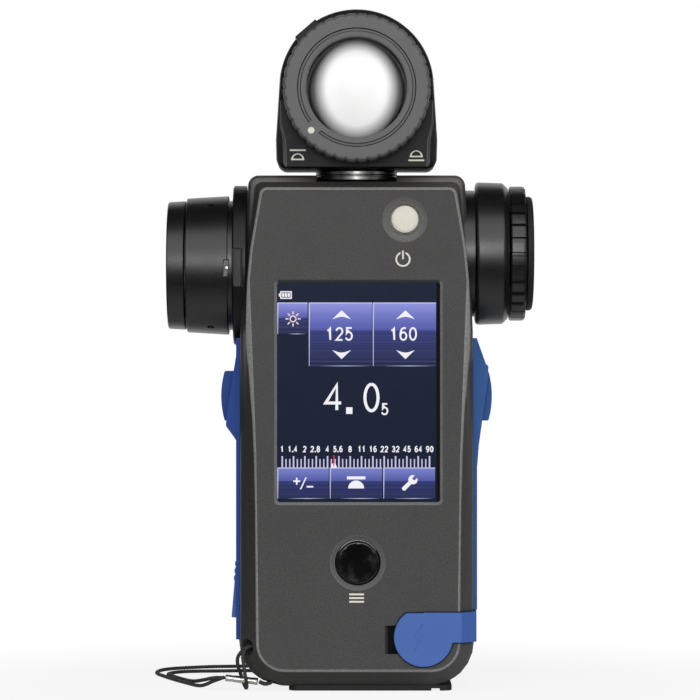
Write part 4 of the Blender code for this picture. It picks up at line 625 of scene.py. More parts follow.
NEAR_Y = COIL_CENTRE[1] - COIL_OUTER
FAR_Y = COIL_CENTRE[1] + COIL_OUTER
RUN_A = [crimp_end(STRANDS_OUT, -1), (-37.0, -9.5, 3.1), (-40.0, -3.0, 2.0), (-43.5, 8.0, 0.8),
         (-48.6, 24.0, 0.55), (-50.6, 33.0, 0.55), (-46.4, 40.4, 0.55), (-34.0, NEAR_Y + 0.3, 0.55),
         (-14.0, NEAR_Y, 0.8)]
RUN_B = [crimp_end(STRANDS_OUT, 1), (-37.0, -8.4, 2.2), (-40.6, -3.6, 0.6), (-45.4, 7.4, 0.55),
         (-50.8, 23.5, 0.55), (-54.0, 37.0, 0.55), (-51.4, 48.6, 0.55), (-41.0, 56.0, 0.55),
         (-27.0, FAR_Y - 0.2, 0.8), (-14.0, FAR_Y, 2.3)]
EYELET = [(-22.2, -11.0, -2.5), (-21.5, -11.3, 4.2), (-22.3, -11.9, 8.2), (-24.9, -12.9, 11.3),
          (-28.0, -14.2, 11.5), (-30.3, -15.3, 9.0), (-31.0, -15.9, 5.0)]
LOOP = [crimp_end(STRANDS_IN, -1), (-23.6, -11.7, 1.7), (-21.9, -12.0, 2.3), (-21.1, -12.4, 4.2),
        (-22.1, -12.8, 7.8), (-24.7, -13.7, 11.2), (-27.9, -14.8, 11.5), (-29.2, -16.0, 9.8),
        (-29.0, -16.7, 7.2), (-28.7, -16.2, 4.6), (-28.3, -14.5, 2.0), (-28.5, -11.5, 0.7),
        (-29.2, -9.3, 1.7), (-30.0, -9.2, 4.1), (-30.7, -11.8, 6.8), (-30.4, -13.4, 9.2),
        (-28.2, -13.6, 11.3), (-25.2, -12.4, 11.2), (-22.3, -11.4, 8.2), (-21.0, -10.8, 4.4),
        (-21.9, -10.5, 2.3), (-23.6, -10.3, 1.7), crimp_end(STRANDS_IN, 1)]


def headings(points):
    """The points of a route, each with the direction of the route there."""
    for i, point in enumerate(points):
        yield point, (points[min(i + 1, len(points) - 1)] - points[max(i - 1, 0)]).normalized()


def twisted_cord(name, route, step=0.4, plies=3, lay=2.6):
    """A cord of twisted plies along a route, as a closed tube, with the points that it follows."""
    points = smooth_route(route, step)
    count = 6 * plies
    rings = []
    normal = Vector((0, 0, 1))
    gone = 0.0
    last = points[0]
    for point, ahead in headings(points):
        normal = (normal - ahead * normal.dot(ahead)).normalized()
        side = ahead.cross(normal)
        gone += (point - last).length
        last = point
        ring = []
        for angle in angles(count):
            reach = CORD_ACROSS / 2 * (0.80 + 0.20 * abs(cos(plies * (angle - 2 * pi * gone / lay) / 2)))
            ring.append((point + (normal * cos(angle) + side * sin(angle)) * reach) * MM)
        rings.append(ring)
    verts = [v for ring in rings for v in ring]
    faces = [(count * i + k, count * i + (k + 1) % count, count * (i + 1) + (k + 1) % count,
              count * (i + 1) + k)
             for i in range(len(rings) - 1) for k in range(count)]
    faces += [tuple(reversed(range(count))), tuple(range(len(verts) - count, len(verts)))]
    mesh = bpy.data.meshes.new(name)
    mesh.from_pydata(verts, [], faces)
    piece = bpy.data.objects.new(name, mesh)
    bpy.context.collection.objects.link(piece)
    edit(piece)
    close_outward()
    bpy.ops.object.shade_smooth()
    return piece, [point * MM for point in smooth_route(route, 4 * step)]


def length_of(points):
    return sum((b - a).length for a, b in zip(points, points[1:]))


def wrist_strap():
    """Attachment loop, metal crimp, and the wrist cord put away in a tied coil behind the case."""
    turns = coil()
    cord, path = twisted_cord("wrist_cord", RUN_A + turns + RUN_B[::-1])
    loop, loop_path = twisted_cord("attachment_loop", LOOP, 0.3)
    start, end = Vector(crimp_end(CRIMP_OUT, 0)), Vector(crimp_end(CRIMP_IN, 0))
    sections = []
    swells = ((0.0, 0.80), (0.0, 0.92), (0.03, 1.0), (0.10, 1.0), (0.16, 0.93), (0.24, 0.93), (0.30, 1.0),
              (0.68, 1.0), (0.74, 0.93), (0.82, 0.93), (0.88, 1.0), (0.97, 1.0), (1.0, 0.92), (1.0, 0.80))
    for along, swell in swells:
        middle = start.lerp(end, along)
        sections.append([middle + Vector((0.119 * 0.9 * sin(a), 1.3 * cos(a), 0.9 * sin(a))) * swell
                         for a in angles(40)])
    crimp = soften(drawn("crimp", sections), 0.06)
    low = (COIL_CENTRE[0] + COIL_INNER - 0.85, COIL_CENTRE[1] - 0.9, 0.04)
    high = (COIL_CENTRE[0] + COIL_OUTER + 0.85, COIL_CENTRE[1] + 0.9, COIL_LOW + COIL_LAYER + 0.78)
    tie = block("coil_tie", low, high)
    cut(tie, block("tie_room", (low[0] + 0.22, low[1] - 1, low[2] + 0.2),
                   (high[0] - 0.22, high[1] + 1, high[2] - 0.2)))
    soften(tie, 0.09, 3)
    fit(cord, "case", CORD_FIBRE, "strap_run_a", "strap_run_b", "strap_coil", slot="cord")
    fit(loop, "case", CORD_FIBRE, "strap_loop", slot="cord")
    fit(crimp, "case", NICKEL, "strap_crimp", slot="nickel")
    fit(tie, "case", PAD_BLACK, slot="black")
    tuple(path[0])
    length_of(path)
    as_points(path)
    tuple(loop_path[0])
    length_of(loop_path)
    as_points(loop_path)


wrist_strap()


# Case
SIDE_HEIGHTS = (21.9, 33.0, 47.0, 60.7, 67.6, 71.5, 75.8, 80.2, 84.3, 88.7, 92.8, 97.1, 105.6, 114.1, 122.5)
FACE_REACH = (25.85, 25.9, 26.05, 26.4, 26.7, 26.9, 27.3, 27.6, 27.95, 28.3, 28.45, 28.4, 28.1, 27.3, 25.9)
FACE_SHIFT = 0.4
FRONT = -17.0
RIDGE_RISE = 0.4
SEAM_FRONT, SEAM_REAR = -1.15, -0.85
BACK = 18.0
HALF_WIDTH = 30.1
WINDOW_X, WINDOW_Z = 0.5, 77
WINDOW_HALF_WIDTH, WINDOW_HALF_HEIGHT = 20.9, 28.15
POWER_KEY = (12.4, 0, 121.45)
MENU_KEY = (0.3, 0, 33.3)
SYNC_SOCKET = (17.15, 0, 14.15)
LID_PLATE = (19.7, 14.0, 66.5, 1.4)
RADIO_PLATE = (13.0, 70.5, 86.5, 1.0)
SCREW_X, SCREW_HEIGHTS = 20.0, {"lower": 10.0, "upper": 126.0}
TRIPOD_BUSH = (9.0, 2.0, 0)
MARK_DEPTHS = (-17.04, -16.9)


def side_reach(z):
    """Half the width of the case at a height."""
    if z < 92:
        return HALF_WIDTH
    if z < 111:
        return HALF_WIDTH - 1.02 * (z - 92) / 19
    return 29.08 - 1.18 * (z - 111) / 22


def case_outline(inset, y):
    half = [(HALF_WIDTH - inset, 1.2 + inset, 11.6 - inset)]
    half += [(side_reach(z) - inset, z, 0) for z in SIDE_HEIGHTS]
    half += [(27.9 - inset, 133.0 - inset, max(2.8 - inset, 0.4))]
    return upright(rounded(mirrored(half), 12), y)


def face_outline(growth, y):
    """The raised front face, which is widest beside the upper end of the screen."""
    half = [(25.85 + growth, 5.6 - growth, 7.0 + growth)]
    half += [(reach + growth, z, 0) for reach, z in zip(FACE_REACH, SIDE_HEIGHTS)]
    half += [(24.7 + growth, 129.3 + growth, max(1.6 + growth, 0.4))]
    corners = [(x + FACE_SHIFT, z, radius) for x, z, radius in mirrored(half)]
    return upright(rounded(corners, 12), y)


def between(first, second, share):
    """An outline part of the way from one to another."""
    return [Vector(a).lerp(Vector(b), share) for a, b in zip(first, second)]


def swollen(node, by, name):
    """A copy of a solid of the frame grown on all sides, for the room that it needs."""
    piece = recast(node, 0)
    piece.name = name
    return apply(piece, "DISPLACE", strength=by * MM, mid_level=0.0)


def pipe(name, route, reach):
    """A round bar along a route."""
    rings = []
    for point, ahead in headings(smooth_route(route, 1.5)):
        across = ahead.cross(Vector((0, 1, 0))).normalized()
        up = across.cross(ahead)
        rings.append([point + (across * cos(a) + up * sin(a)) * reach for a in angles(32)])
    return drawn(name, rings)


def within(outline, place):
    """Whether a place lies inside an outline, seen from the front."""
    inside = False
    for (x, z), (u, w) in zip(outline, outline[1:] + outline[:1]):
        if (z > place.z) != (w > place.z) and place.x < x + (u - x) * (place.z - z) / (w - z):
            inside = not inside
    return inside


def window_outline(growth, radius):
    """The screen opening, grown on all sides."""
    width, height = WINDOW_HALF_WIDTH + growth, WINDOW_HALF_HEIGHT + growth
    return rounded_box(WINDOW_X - width, WINDOW_X + width, WINDOW_Z - height, WINDOW_Z + height, radius)


def window_room():
    """The bevelled screen opening, and the wider pocket of the glass behind it."""
    edge = window_outline(0.0, 0.7)
    opening = drawn("opening", [upright(window_outline(1.8, 1.9), -18.2), upright(edge, -16.2),
                                upright(edge, -15.0)])
    return opening, flat_piece("pocket", window_outline(1.7, 0.8), -16.15, -13.0)


def lit_window_slope(place, normal):
    """Whether a face lies on the slope at the sides or at the foot of the screen opening, which take a
    painted highlight; the upper slope, in shade, is left out.
    """
    across = abs(place.x - WINDOW_X)
    beside = WINDOW_HALF_WIDTH < across < 23 and abs(place.z - WINDOW_Z) < 30
    below = across < 21 and 47 < place.z < 49.2
    return (beside or below) and place.y < -16.1 and 0.3 < -normal.y < 0.9


def key_dish(name, key, hole, rim):
    """The hollow round a key and the hole through its floor."""
    slope = [(hole + 0.25, 16.14), (hole + 0.55 * (rim - hole), 16.45), (rim - 0.25, 16.8), (rim, 17.05)]
    return turned(name, key, "front", [(hole, 8.0), (hole, 16.1), *slope, (rim + 0.25, 17.6)])


def side_rooms():
    """Room for the grips, the side keys, the port cover and the neck, in either half of the case."""
    yield swollen("left_grip", 0.06, "left_room")
    yield swollen("right_grip", 0.06, "right_room")
    yield swollen("usb_cover", 0.3, "usb_room")
    for side in (-1, 1):
        near, far = sorted((25.0 * side, 40.0 * side))
        yield block("key_room", (near, -4.8, 69.3), (far, 6.8, 82.7))
    yield turned("neck_room", (0, 0, 0), "up", [(10.8, 125.0), (10.8, 134.0)])
    yield block("neck_slot", (-10.3, -15.0, 131.2), (10.3, 0.0, 134.0))


def front_case():
    slope_top, slope_foot = face_outline(0.4, FRONT + 0.3), case_outline(0.75, -13.0)
    ridge = [place - Vector((0, RIDGE_RISE, 0)) for place in between(slope_top, slope_foot, 0.55)]
    sides = stack(case_outline, (0.3, -12.3), (0.06, -11.6), (0.0, -10.8), (0.0, SEAM_FRONT),
                  (2.2, SEAM_FRONT), (2.4, -11.0))
    shell = drawn("front_case", [*stack(face_outline, (-0.25, FRONT), (0.1, FRONT + 0.1)), slope_top, ridge,
                                 slope_foot, *sides, face_outline(-2.0, -14.8)])
    notch = [(7.1, -17.2), (11.5, -17.2), (11.5, -15.6), (8.1, -15.6)]
    cut(shell, *window_room(), key_dish("power_dish", POWER_KEY, 3.85, 5.9),
        key_dish("menu_dish", MENU_KEY, 5.85, 7.2),
        drawn("finger_notch", [plan(notch, z) for z in (9.85, 17.1)]),
        turned("socket_hole", SYNC_SOCKET, "front", [(4.0, 8.0), (4.0, 17.5)]),
        swollen("sync_cover", 0.32, "sync_room"), *side_rooms(), pipe("eyelet", EYELET, 2.1))
    soften(shell, 0.12, 2, 32)
    fit(shell, "case", CASE_GREY, "front_shell", slot="case")
    face = [(x, z) for x, y, z in face_outline(-0.31, 0)]
    # Painted shade on the sloped sides round the raised face.
    paint(shell, CASE_SHADED, lambda c, n: c.y > FRONT + 0.5 and not within(face, c))
    ridge = [(x, z) for x, y, z in ridge]
    # Painted highlight on the upper rim.
    paint(shell, CASE_LIT_RIM, lambda c, n: c.z > 116 and -15.1 < c.y < -10.7 and not within(ridge, c))
    # Painted highlight along the edge of the raised face.
    paint(shell, EDGE_HIGHLIGHT, lambda c, n: c.y < FRONT + 0.5 and not within(face, c))
    # Painted highlight on the lit slopes of the screen opening.
    paint(shell, WINDOW_EDGE_HIGHLIGHT, lit_window_slope)
    # Painted light on the dishes round the keys.
    for (x, _, z), rim in ((POWER_KEY, 6.0), (MENU_KEY, 7.3)):
        paint(shell, DISH_LIT_GREY, lambda c, n: hypot(c.x - x, c.z - z) < rim and c.y > FRONT + 0.03)
    paint(shell, SHADE, lambda c, n: 8.0 < c.x < 11.6 and 9.8 < c.z < 17.2 and -16.9 < c.y)


front_case()


def plate_outline(plate, growth=0.0):
    """A plate of the back (half its width, lower end, upper end, corner radius), grown on all sides."""
    half, low, high, radius = plate
    return rounded_box(-half - growth, half + growth, low - growth, high + growth, radius + growth * 2 / 3)


def rear_case():
    shell = drawn("rear_case", stack(case_outline, (5.0, 15.8), (3.0, 13.6), (2.2, 11.0), (2.2, SEAM_REAR),
                                     (0.0, SEAM_REAR), (0.0, 12.6), (0.2, 13.8), (0.75, 15.2), (1.7, 16.5),
                                     (3.0, 17.5), (4.5, 17.93), (5.3, BACK)))
    cut(shell, *side_rooms(), flat_piece("lid_room", plate_outline(LID_PLATE, 0.3), 12.0, 19.0),
        flat_piece("radio_room", plate_outline(RADIO_PLATE, 0.3), 12.0, 19.0))
    seat = [(1.85, 3.0), (1.85, 17.2), (2.7, 17.9), (2.9, 18.5)]
    for x in (-SCREW_X, SCREW_X):
        for z in SCREW_HEIGHTS.values():
            cut(shell, turned("screw_seat", (x, 0, z), "back", seat, 48))
    soften(shell, 0.12, 2, 32)
    # Painted shade: the rear shell takes the shaded copy of the case grey, lighter to the right by painted
    # light.
    fit(shell, "case", CASE_SHADED, "rear_shell", slot="case")


def cover_plate(name, plate, inner):
    """A cover in the back, its outer edge sloped."""
    edge = plate_outline(plate)
    return drawn(name, [upright(edge, inner), upright(edge, 17.7),
                        upright(plate_outline(plate, -0.3), BACK)])


def rear_covers():
    """Cell lid with its sliding latch, cover of the radio module, and the case screws."""
    lid = cover_plate("lid_plate", LID_PLATE, 16.0)
    cut(lid, block("latch_room", (-5.25, 16.8, 55.2), (5.25, 19.0, 63.8)))
    for k in range(7):
        half, low = 16.0 - 0.9 * abs(k - 3), 19.0 + 2.2 * k
        cut(lid, block("groove", (-half, 17.6, low), (half, 19.0, low + 0.9)))
    # Painted shade and light as on the rear shell.
    fit(soften(lid, 0.15), "lid", CASE_SHADED, "cell_lid", slot="case")
    latch = flat_piece("latch_key", rounded_box(-5.0, 5.0, 58.5, 63.5, 0.6), 17.0, 18.45)
    for k in range(4):
        low = 59.15 + 1.05 * k
        cut(latch, block("rib", (-4.2, 18.2, low), (4.2, 18.8, low + 0.55)), operation="UNION")
    fit(soften(latch, 0.1), "latch", HEAD_BLACK, "lid_latch", slot="black")
    cover = cover_plate("radio_plate", RADIO_PLATE, 15.8)
    cut(cover, block("nail_slot", (-3.5, 17.3, 71.2), (3.5, 19.0, 72.4)))
    # Painted shade and light as on the rear shell.
    fit(soften(cover, 0.15), "case", CASE_SHADED, "radio_cover", slot="case")
    shank = [(0.9, 3.7), (0.9, 15.7), (1.6, 15.9), (1.6, 17.2), (1.3, 17.55), (0.6, 17.7)]
    for height, z in SCREW_HEIGHTS.items():
        for side, x in (("left", -SCREW_X), ("right", SCREW_X)):
            node = height + "_" + side + "_screw"
            screw = turned(node + "_cut", (x, 0, z), "back", shank, 40)
            cut(screw, block("slot_a", (x - 0.9, 16.9, z - 0.18), (x + 0.9, 18, z + 0.18)),
                block("slot_b", (x - 0.18, 16.9, z - 0.9), (x + 0.18, 18, z + 0.9)))
            fit(soften(screw, 0.04), "case", STEEL, node, slot="black")


def grips():
    """Blue rubber down both sides with a guard at each key, and the two side keys, in shaded copies of the
    blue: deep painted shade on the left, lighter painted shade on the right.
    """
    for node, body, finish in (("left_grip", "case", BLUE_SHADED_LEFT), ("right_grip", "case", BLUE_SHADED_RIGHT),
                               ("measuring_button", "measuring_key", BLUE_SHADED_LEFT),
                               ("memory_button", "memory_key", BLUE_SHADED_RIGHT)):
        fit(recast(node, *((0.04, 2, 62) if body == "case" else (0.3, 3))), body, finish, node, slot="blue")


def front_keys():
    """Ivory power key and black menu key, each with its printed mark."""
    profile = [(4.3, 13.5), (4.3, 14.2), (3.5, 14.25), (3.5, 16.85), (3.42, 17.1), (3.2, 17.24),
               (2.6, 17.3), (0.9, 17.33)]
    power = turned("power_cap", POWER_KEY, "front", profile)
    fit(soften(power, 0), "power_key", IVORY, "power_button", slot="ivory")
    profile = [(6.3, 13.5), (6.3, 14.2), (5.5, 14.25), (5.5, 16.8), (5.42, 17.06), (5.25, 17.22),
               (5.0, 17.3), (4.7, 17.28), (1.0, 17.2)]
    menu = turned("menu_cap", MENU_KEY, "front", profile)
    fit(soften(menu, 0), "menu_key", GLOSS_BLACK, "menu_button", slot="gloss")
    profile = [(1.5, 16.9), (1.5, 17.04), (1.95, 17.04), (1.95, 16.9)]
    ring = turned("power_mark", (11.9, 0, 111.2), "front", profile, 64, hollow=True)
    cut(ring, block("gap", (11.25, -18, 111.2), (12.55, -16, 114)))
    bar = block("bar", (11.68, MARK_DEPTHS[0], 111.2), (12.12, MARK_DEPTHS[1], 113.4))
    bars = [block("menu_bar", (-1.9, MARK_DEPTHS[0], low), (1.9, MARK_DEPTHS[1], low + 0.45))
            for low in (23.05, 24.0, 24.95)]
    fit(joined("key_marks", ring, bar, *bars), "case", PRINT, slot="ivory")


def covers():
    """Blue covers of the flash terminal and the port."""
    sync = recast("sync_cover", 0.22, 3)
    zigzag = [(15.0, 10.6), (16.9, 14.6), (15.6, 14.8), (17.1, 18.0), (14.6, 14.0), (15.9, 13.7)]
    bolt = flat_piece("bolt", zigzag, -17.95, -17.6)
    fit(joined("sync_flap_cover", sync, soften(bolt, 0.08)), "sync_flap", BLUE, "sync_cover", slot="blue")
    flap = [(-29.3, 18.4), (-32.5, 18.4), (-31.25, 33.6), (-29.3, 33.6)]
    usb = soften(flat_piece("usb", flap, -5.0, 7.0), 0.25, 3)
    ribs = []
    for k in range(3):
        low = 28.0 + 1.9 * k
        bead = block("hinge_rib", (-31.9 + 0.15 * k, -4.5, low), (-30.9, 6.5, low + 1.1))
        ribs.append(soften(bead, 0.2, 3))
    fit(joined("usb_flap_cover", usb, *ribs), "usb_flap", BLUE, "usb_cover", slot="blue")


def base():
    """Rubber pad with treads under the case, and the threaded tripod bush in it."""
    edge = rounded_box(-17.5, 24.6, -12.0, 13.0, 2.5, 6)
    pad = drawn("foot_pad", [plan(edge, 0.0), plan(edge, 1.5)])
    cut(pad, turned("bush_room", TRIPOD_BUSH, "up", [(5.2, -1.0), (5.2, 3.0)], 64))
    for k in range(8):
        cut(pad, block("tread", (-16.0 + 2.2 * k, -10.5, -1.0), (-15.0 + 2.2 * k, 11.5, 0.35)))
    cut(pad, block("pad_gap", (19.3, -14.0, -1.0), (21.5, 15.0, 0.6)))
    fit(soften(pad, 0.12), "case", PAD_BLACK, "base_pad", slot="black")
    profile = [(5.0, 8.9), (5.0, 0.7), (4.7, 0.4), (3.6, 0.4)]
    for k in range(7):
        profile += [(3.18, 0.9 + 1.1 * k), (3.55, 1.45 + 1.1 * k)]
    bush = turned("thread_bush", TRIPOD_BUSH, "up", profile + [(3.18, 8.6), (3.18, 8.9)], 64, hollow=True)
    fit(soften(bush, 0), "case", BRASS, "tripod_bush", slot="brass")


rear_case()
rear_covers()
grips()
front_keys()
covers()
base()


# Finder
FINDER_Y = 1.5
OBJECTIVE = (0.0, FINDER_Y, 110.0)
EYEPIECE = (0.0, FINDER_Y, 113.1)
RIBS = 30


def set_hole(x, rise):
    """The bore of a set screw, square to the barrel at an angle above its axis."""
    flat, up = cos(radians(rise)), sin(radians(rise))
    route = [(x, FINDER_Y - flat * reach, OBJECTIVE[2] + up * reach) for reach in (16.5, 18.5, 22.0)]
    return pipe("set_hole", route, 0.85)


def lens(name, centre, way, reach, edge, crown):
    """A lens with a crowned outer face."""
    curve = [(reach * cos(t), edge + (crown - edge) * sin(t)) for t in angles(9, pi / 2)]
    return soften(turned(name, centre, way, [(reach, edge - 1.0), *curve]), 0)


def objective():
    profile = [(18.0, 28.58), (20.8, 28.58), (20.8, 31.6), (20.6, 31.95), (20.3, 32.08), (18.0, 32.08)]
    flange = turned("mount_flange", OBJECTIVE, "left", profile, 128)
    work_on(flange)
    bpy.ops.transform.resize(value=(1, 17.0 / 20.8, 1), center_override=Vector(OBJECTIVE) * MM)
    bpy.ops.object.transform_apply(location=True, scale=True)
    cut(flange, block("plate_room", (-32.5, -16, 103.9), (-29.5, -14.9, 114.1)))
    plate = soften(block("index_plate", (-31.75, -15.45, 104.2), (-29.8, -14.85, 113.8)), 0.12)
    fit(joined("flange", soften(flange, 0.12), plate), "case", FLANGE_BLACK, "objective_flange",
        slot="black")
    profile = [(16.9, 32.1), (16.9, 33.3), (17.95, 33.3), (18.12, 33.45), (17.5, 44.0), (17.35, 44.18),
               (11.2, 44.18), (11.2, 41.0)]
    barrel = turned("barrel", OBJECTIVE, "left", profile, 128)
    cut(barrel, set_hole(-37.7, 58.9), set_hole(-37.9, -65.0),
        block("notch", (-34.3, -20, 106.9), (-33.0, -15.3, 111.1)))
    pin = turned("notch_pin", (-33.45, 0, 109.0), "front", [(0.55, 14.0), (0.55, 15.7), (0.35, 15.9)], 24)
    barrel = soften(barrel, 0.1)
    fit(barrel, "case", BARREL_BLACK, "objective_barrel", slot="black")
    fit(soften(pin, 0.05), "case", NICKEL, slot="nickel")
    profile = [(16.1, 44.48), (16.6, 44.52), (16.8, 44.75), (16.55, 48.8), (16.3, 49.08), (12.2, 49.08),
               (11.7, 48.7), (11.7, 48.1), (11.2, 48.1), (11.2, 47.4), (11.7, 47.4), (11.7, 46.7),
               (11.2, 46.7), (11.2, 46.0), (11.7, 46.0), (11.7, 45.3), (11.2, 45.3), (11.2, 44.48)]
    front = turned("front_ring", OBJECTIVE, "left", profile, 128, hollow=True)
    fit(soften(front, 0.06), "case", BARREL_BLACK, "objective_front_ring", slot="black")
    fit(lens("front_lens", OBJECTIVE, "left", 10.7, 42.1, 43.88), "case", COATED_GLASS, "objective_lens",
        slot="lens")


def rib(angle):
    """Grooves between the ribs of the focusing ring."""
    along = angle * RIBS / (2 * pi) % 1.0
    return -0.9 if along < 0.26 else 0.0


def eyepiece():
    profile = [(16.0, 26.5), (16.5, 27.0), (16.5, 30.68), (12.0, 30.68)]
    neck = turned("finder_neck", EYEPIECE, "right", profile, 128)
    fit(soften(neck, 0.15), "case", BARREL_BLACK, "eyepiece_neck", slot="black")
    profile = [(9.0, 30.98), (17.8, 30.98), (18.35, 31.2), (18.6, 31.8), (18.4, 37.9), (18.15, 38.3),
               (17.1, 39.38), (9.0, 39.38)]
    collar = turned("finder_collar", EYEPIECE, "right", profile, 128, hollow=True)
    fit(soften(collar, 0.12), "case", BARREL_BLACK, "eyepiece_collar", slot="black")
    profile = [(9.3, 39.78), (16.55, 39.78), (17.2, 39.85, True), (17.5, 40.15, True), (17.5, 43.1, True),
               (17.35, 43.6, True), (17.0, 43.88, True), (16.0, 43.88), (9.3, 43.88)]
    ring = turned("focus_ring", EYEPIECE, "right", profile, RIBS * 16, rib, hollow=True)
    fit(soften(ring, 0), "diopter", BARREL_BLACK, "diopter_ring", slot="black")
    profile = [(9.5, 44.18), (14.4, 44.18), (14.8, 44.3), (14.9, 44.6), (14.85, 45.2), (14.5, 45.7),
               (13.8, 45.88), (12.0, 45.7), (10.2, 45.2), (9.6, 44.7)]
    cup = turned("eye_rest", EYEPIECE, "right", profile, 96, hollow=True)
    fit(soften(cup, 0), "diopter", PAD_BLACK, "eyecup", slot="black")
    profile = [(7.3, 32.28), (8.6, 32.28), (8.6, 43.5), (8.4, 43.88), (8.0, 43.88), (7.7, 43.5),
               (7.3, 38.0)]
    cell = turned("ocular_tube", EYEPIECE, "right", profile, 96, hollow=True)
    fit(soften(cell, 0.08), "ocular", BARREL_BLACK, "ocular_cell", slot="black")
    fit(lens("eye_lens", EYEPIECE, "right", 7.1, 35.4, 36.68), "ocular", COATED_GLASS, "ocular_lens",
        slot="lens")


objective()
eyepiece()


# Head
ARCH_CENTRE = 155.8
ARCH_REACH = 19.9
HEAD_FRONT, HEAD_SPLIT, HEAD_BACK = -15.5, -3.0, 13.0
HEAD_GAP = 0.15
DOME_CENTRE = (0.0, 0.0, 154.9)
SCALLOPS = 40
INDEX_TURN = radians(223.5)


def head_outline(inset, y):
    """Square shoulders below, and an arch that the straight sides run into."""
    half = [(20.6 - inset, 134.7 + inset, max(2.5 - inset, 0.4)), (20.8 - inset, 142.0, 0)]
    reach = ARCH_REACH - inset
    turns = (radians(5.8 + 168.4 * k / 48) for k in range(49))
    arch = [(reach * cos(turn), ARCH_CENTRE + reach * sin(turn), 0) for turn in turns]
    corners = half + arch + [(-x, z, radius) for x, z, radius in reversed(half)]
    return upright(rounded(corners, 8), y)


def recess_outline(growth, y):
    """The sunk front of the head between its cheeks, wider beside the ring."""
    places = ((18.1, 133.0), (18.3, 141.8), (19.5, 146.2), (19.7, 152.0), (15.0, 158.0))
    half = [(x + growth, z, 0) for x, z in places]
    return upright([(x, z) for x, z, radius in mirrored(half)], y)


def dome_mark(x, low, turn):
    """A dome above a line, or below it where turn is -1."""
    bow = [(1.7 * cos(t), 1.75 * sin(t)) for t in [*angles(20, pi), pi]]
    base = low + (1.0 if turn > 0 else 0.0)
    dome = flat_piece("dome_mark", [(x + u, base + v) for u, v in bow], -14.65, -14.4)
    cut(dome, flat_piece("hollow", [(x + 0.68 * u, base + 0.38 + 0.64 * v) for u, v in bow], -15, -14))
    line = low if turn > 0 else low + 2.35
    return dome, block("line_mark", (x - 2.03, -14.65, line), (x + 2.03, -14.4, line + 0.42))


def tube_room():
    """Room for the tube that the head turns on."""
    return turned("tube_room", (0, 0, 0), "up", [(10.2, 130.0), (10.2, 137.5)])


def head_shells():
    edge = HEAD_SPLIT - HEAD_GAP
    front = drawn("head_front", stack(head_outline, (2.0, -13.2), (2.0, edge), (0.0, edge), (0.0, -13.2),
                                      (0.25, -14.4), (0.8, -15.15), (1.6, HEAD_FRONT)))
    cut(front, drawn("recess", [recess_outline(0.9, -16.0), recess_outline(0.0, -14.55)]),
        turned("dome_room", DOME_CENTRE, "front", [(15.0, 1.0), (15.0, 18.0)], 96), tube_room())
    fit(soften(front, 0.14, 2, 30), "head", HEAD_BLACK, "head_front_shell", slot="black")
    # Painted light on the raised cheeks, lighter than the shaded sunk front.
    paint(front, CHEEK_LIGHT_AND_GROOVE_SHADE,
          lambda c, n: c.z < 160 and c.y < -13 and (abs(c.x) > 19.5 or c.y < HEAD_FRONT + 0.1))
    # Painted highlight on the crease walls.
    paint(front, CREASE_HIGHLIGHT,
          lambda c, n: c.z < 152 and HEAD_FRONT + 0.04 < c.y < -14.5 and n.x * c.x < -0.2)
    edge = HEAD_SPLIT + HEAD_GAP
    rear = drawn("head_rear", stack(head_outline, (2.0, 10.8), (2.0, edge), (0.0, edge), (0.0, 10.6),
                                    (0.3, 11.8), (1.0, 12.65), (2.0, HEAD_BACK)))
    cut(rear, tube_room())
    fit(soften(rear, 0.14, 2, 30), "head", HEAD_BLACK, "head_rear_shell", slot="black")
    fit(joined("head_marks", *dome_mark(-15.15, 136.75, -1), *dome_mark(15.35, 136.5, 1)), "head", PRINT,
        slot="ivory")


def scallop(angle):
    return -0.35 * max(0.0, cos(SCALLOPS * angle)) ** 2


def slanted(base, along, across, places):
    """Places counted from a base in two directions."""
    return [base + along * u + across * v for u, v in places]


def turned_outline(centre, turn, near, far, half):
    """A block across a ring at an angle, as points across and up."""
    out, side = Vector((cos(turn), sin(turn))), Vector((-sin(turn), cos(turn)))
    middle = Vector((centre[0], centre[2]))
    return slanted(middle, out, side, ((far, -half), (far, half), (near, half), (near, -half)))


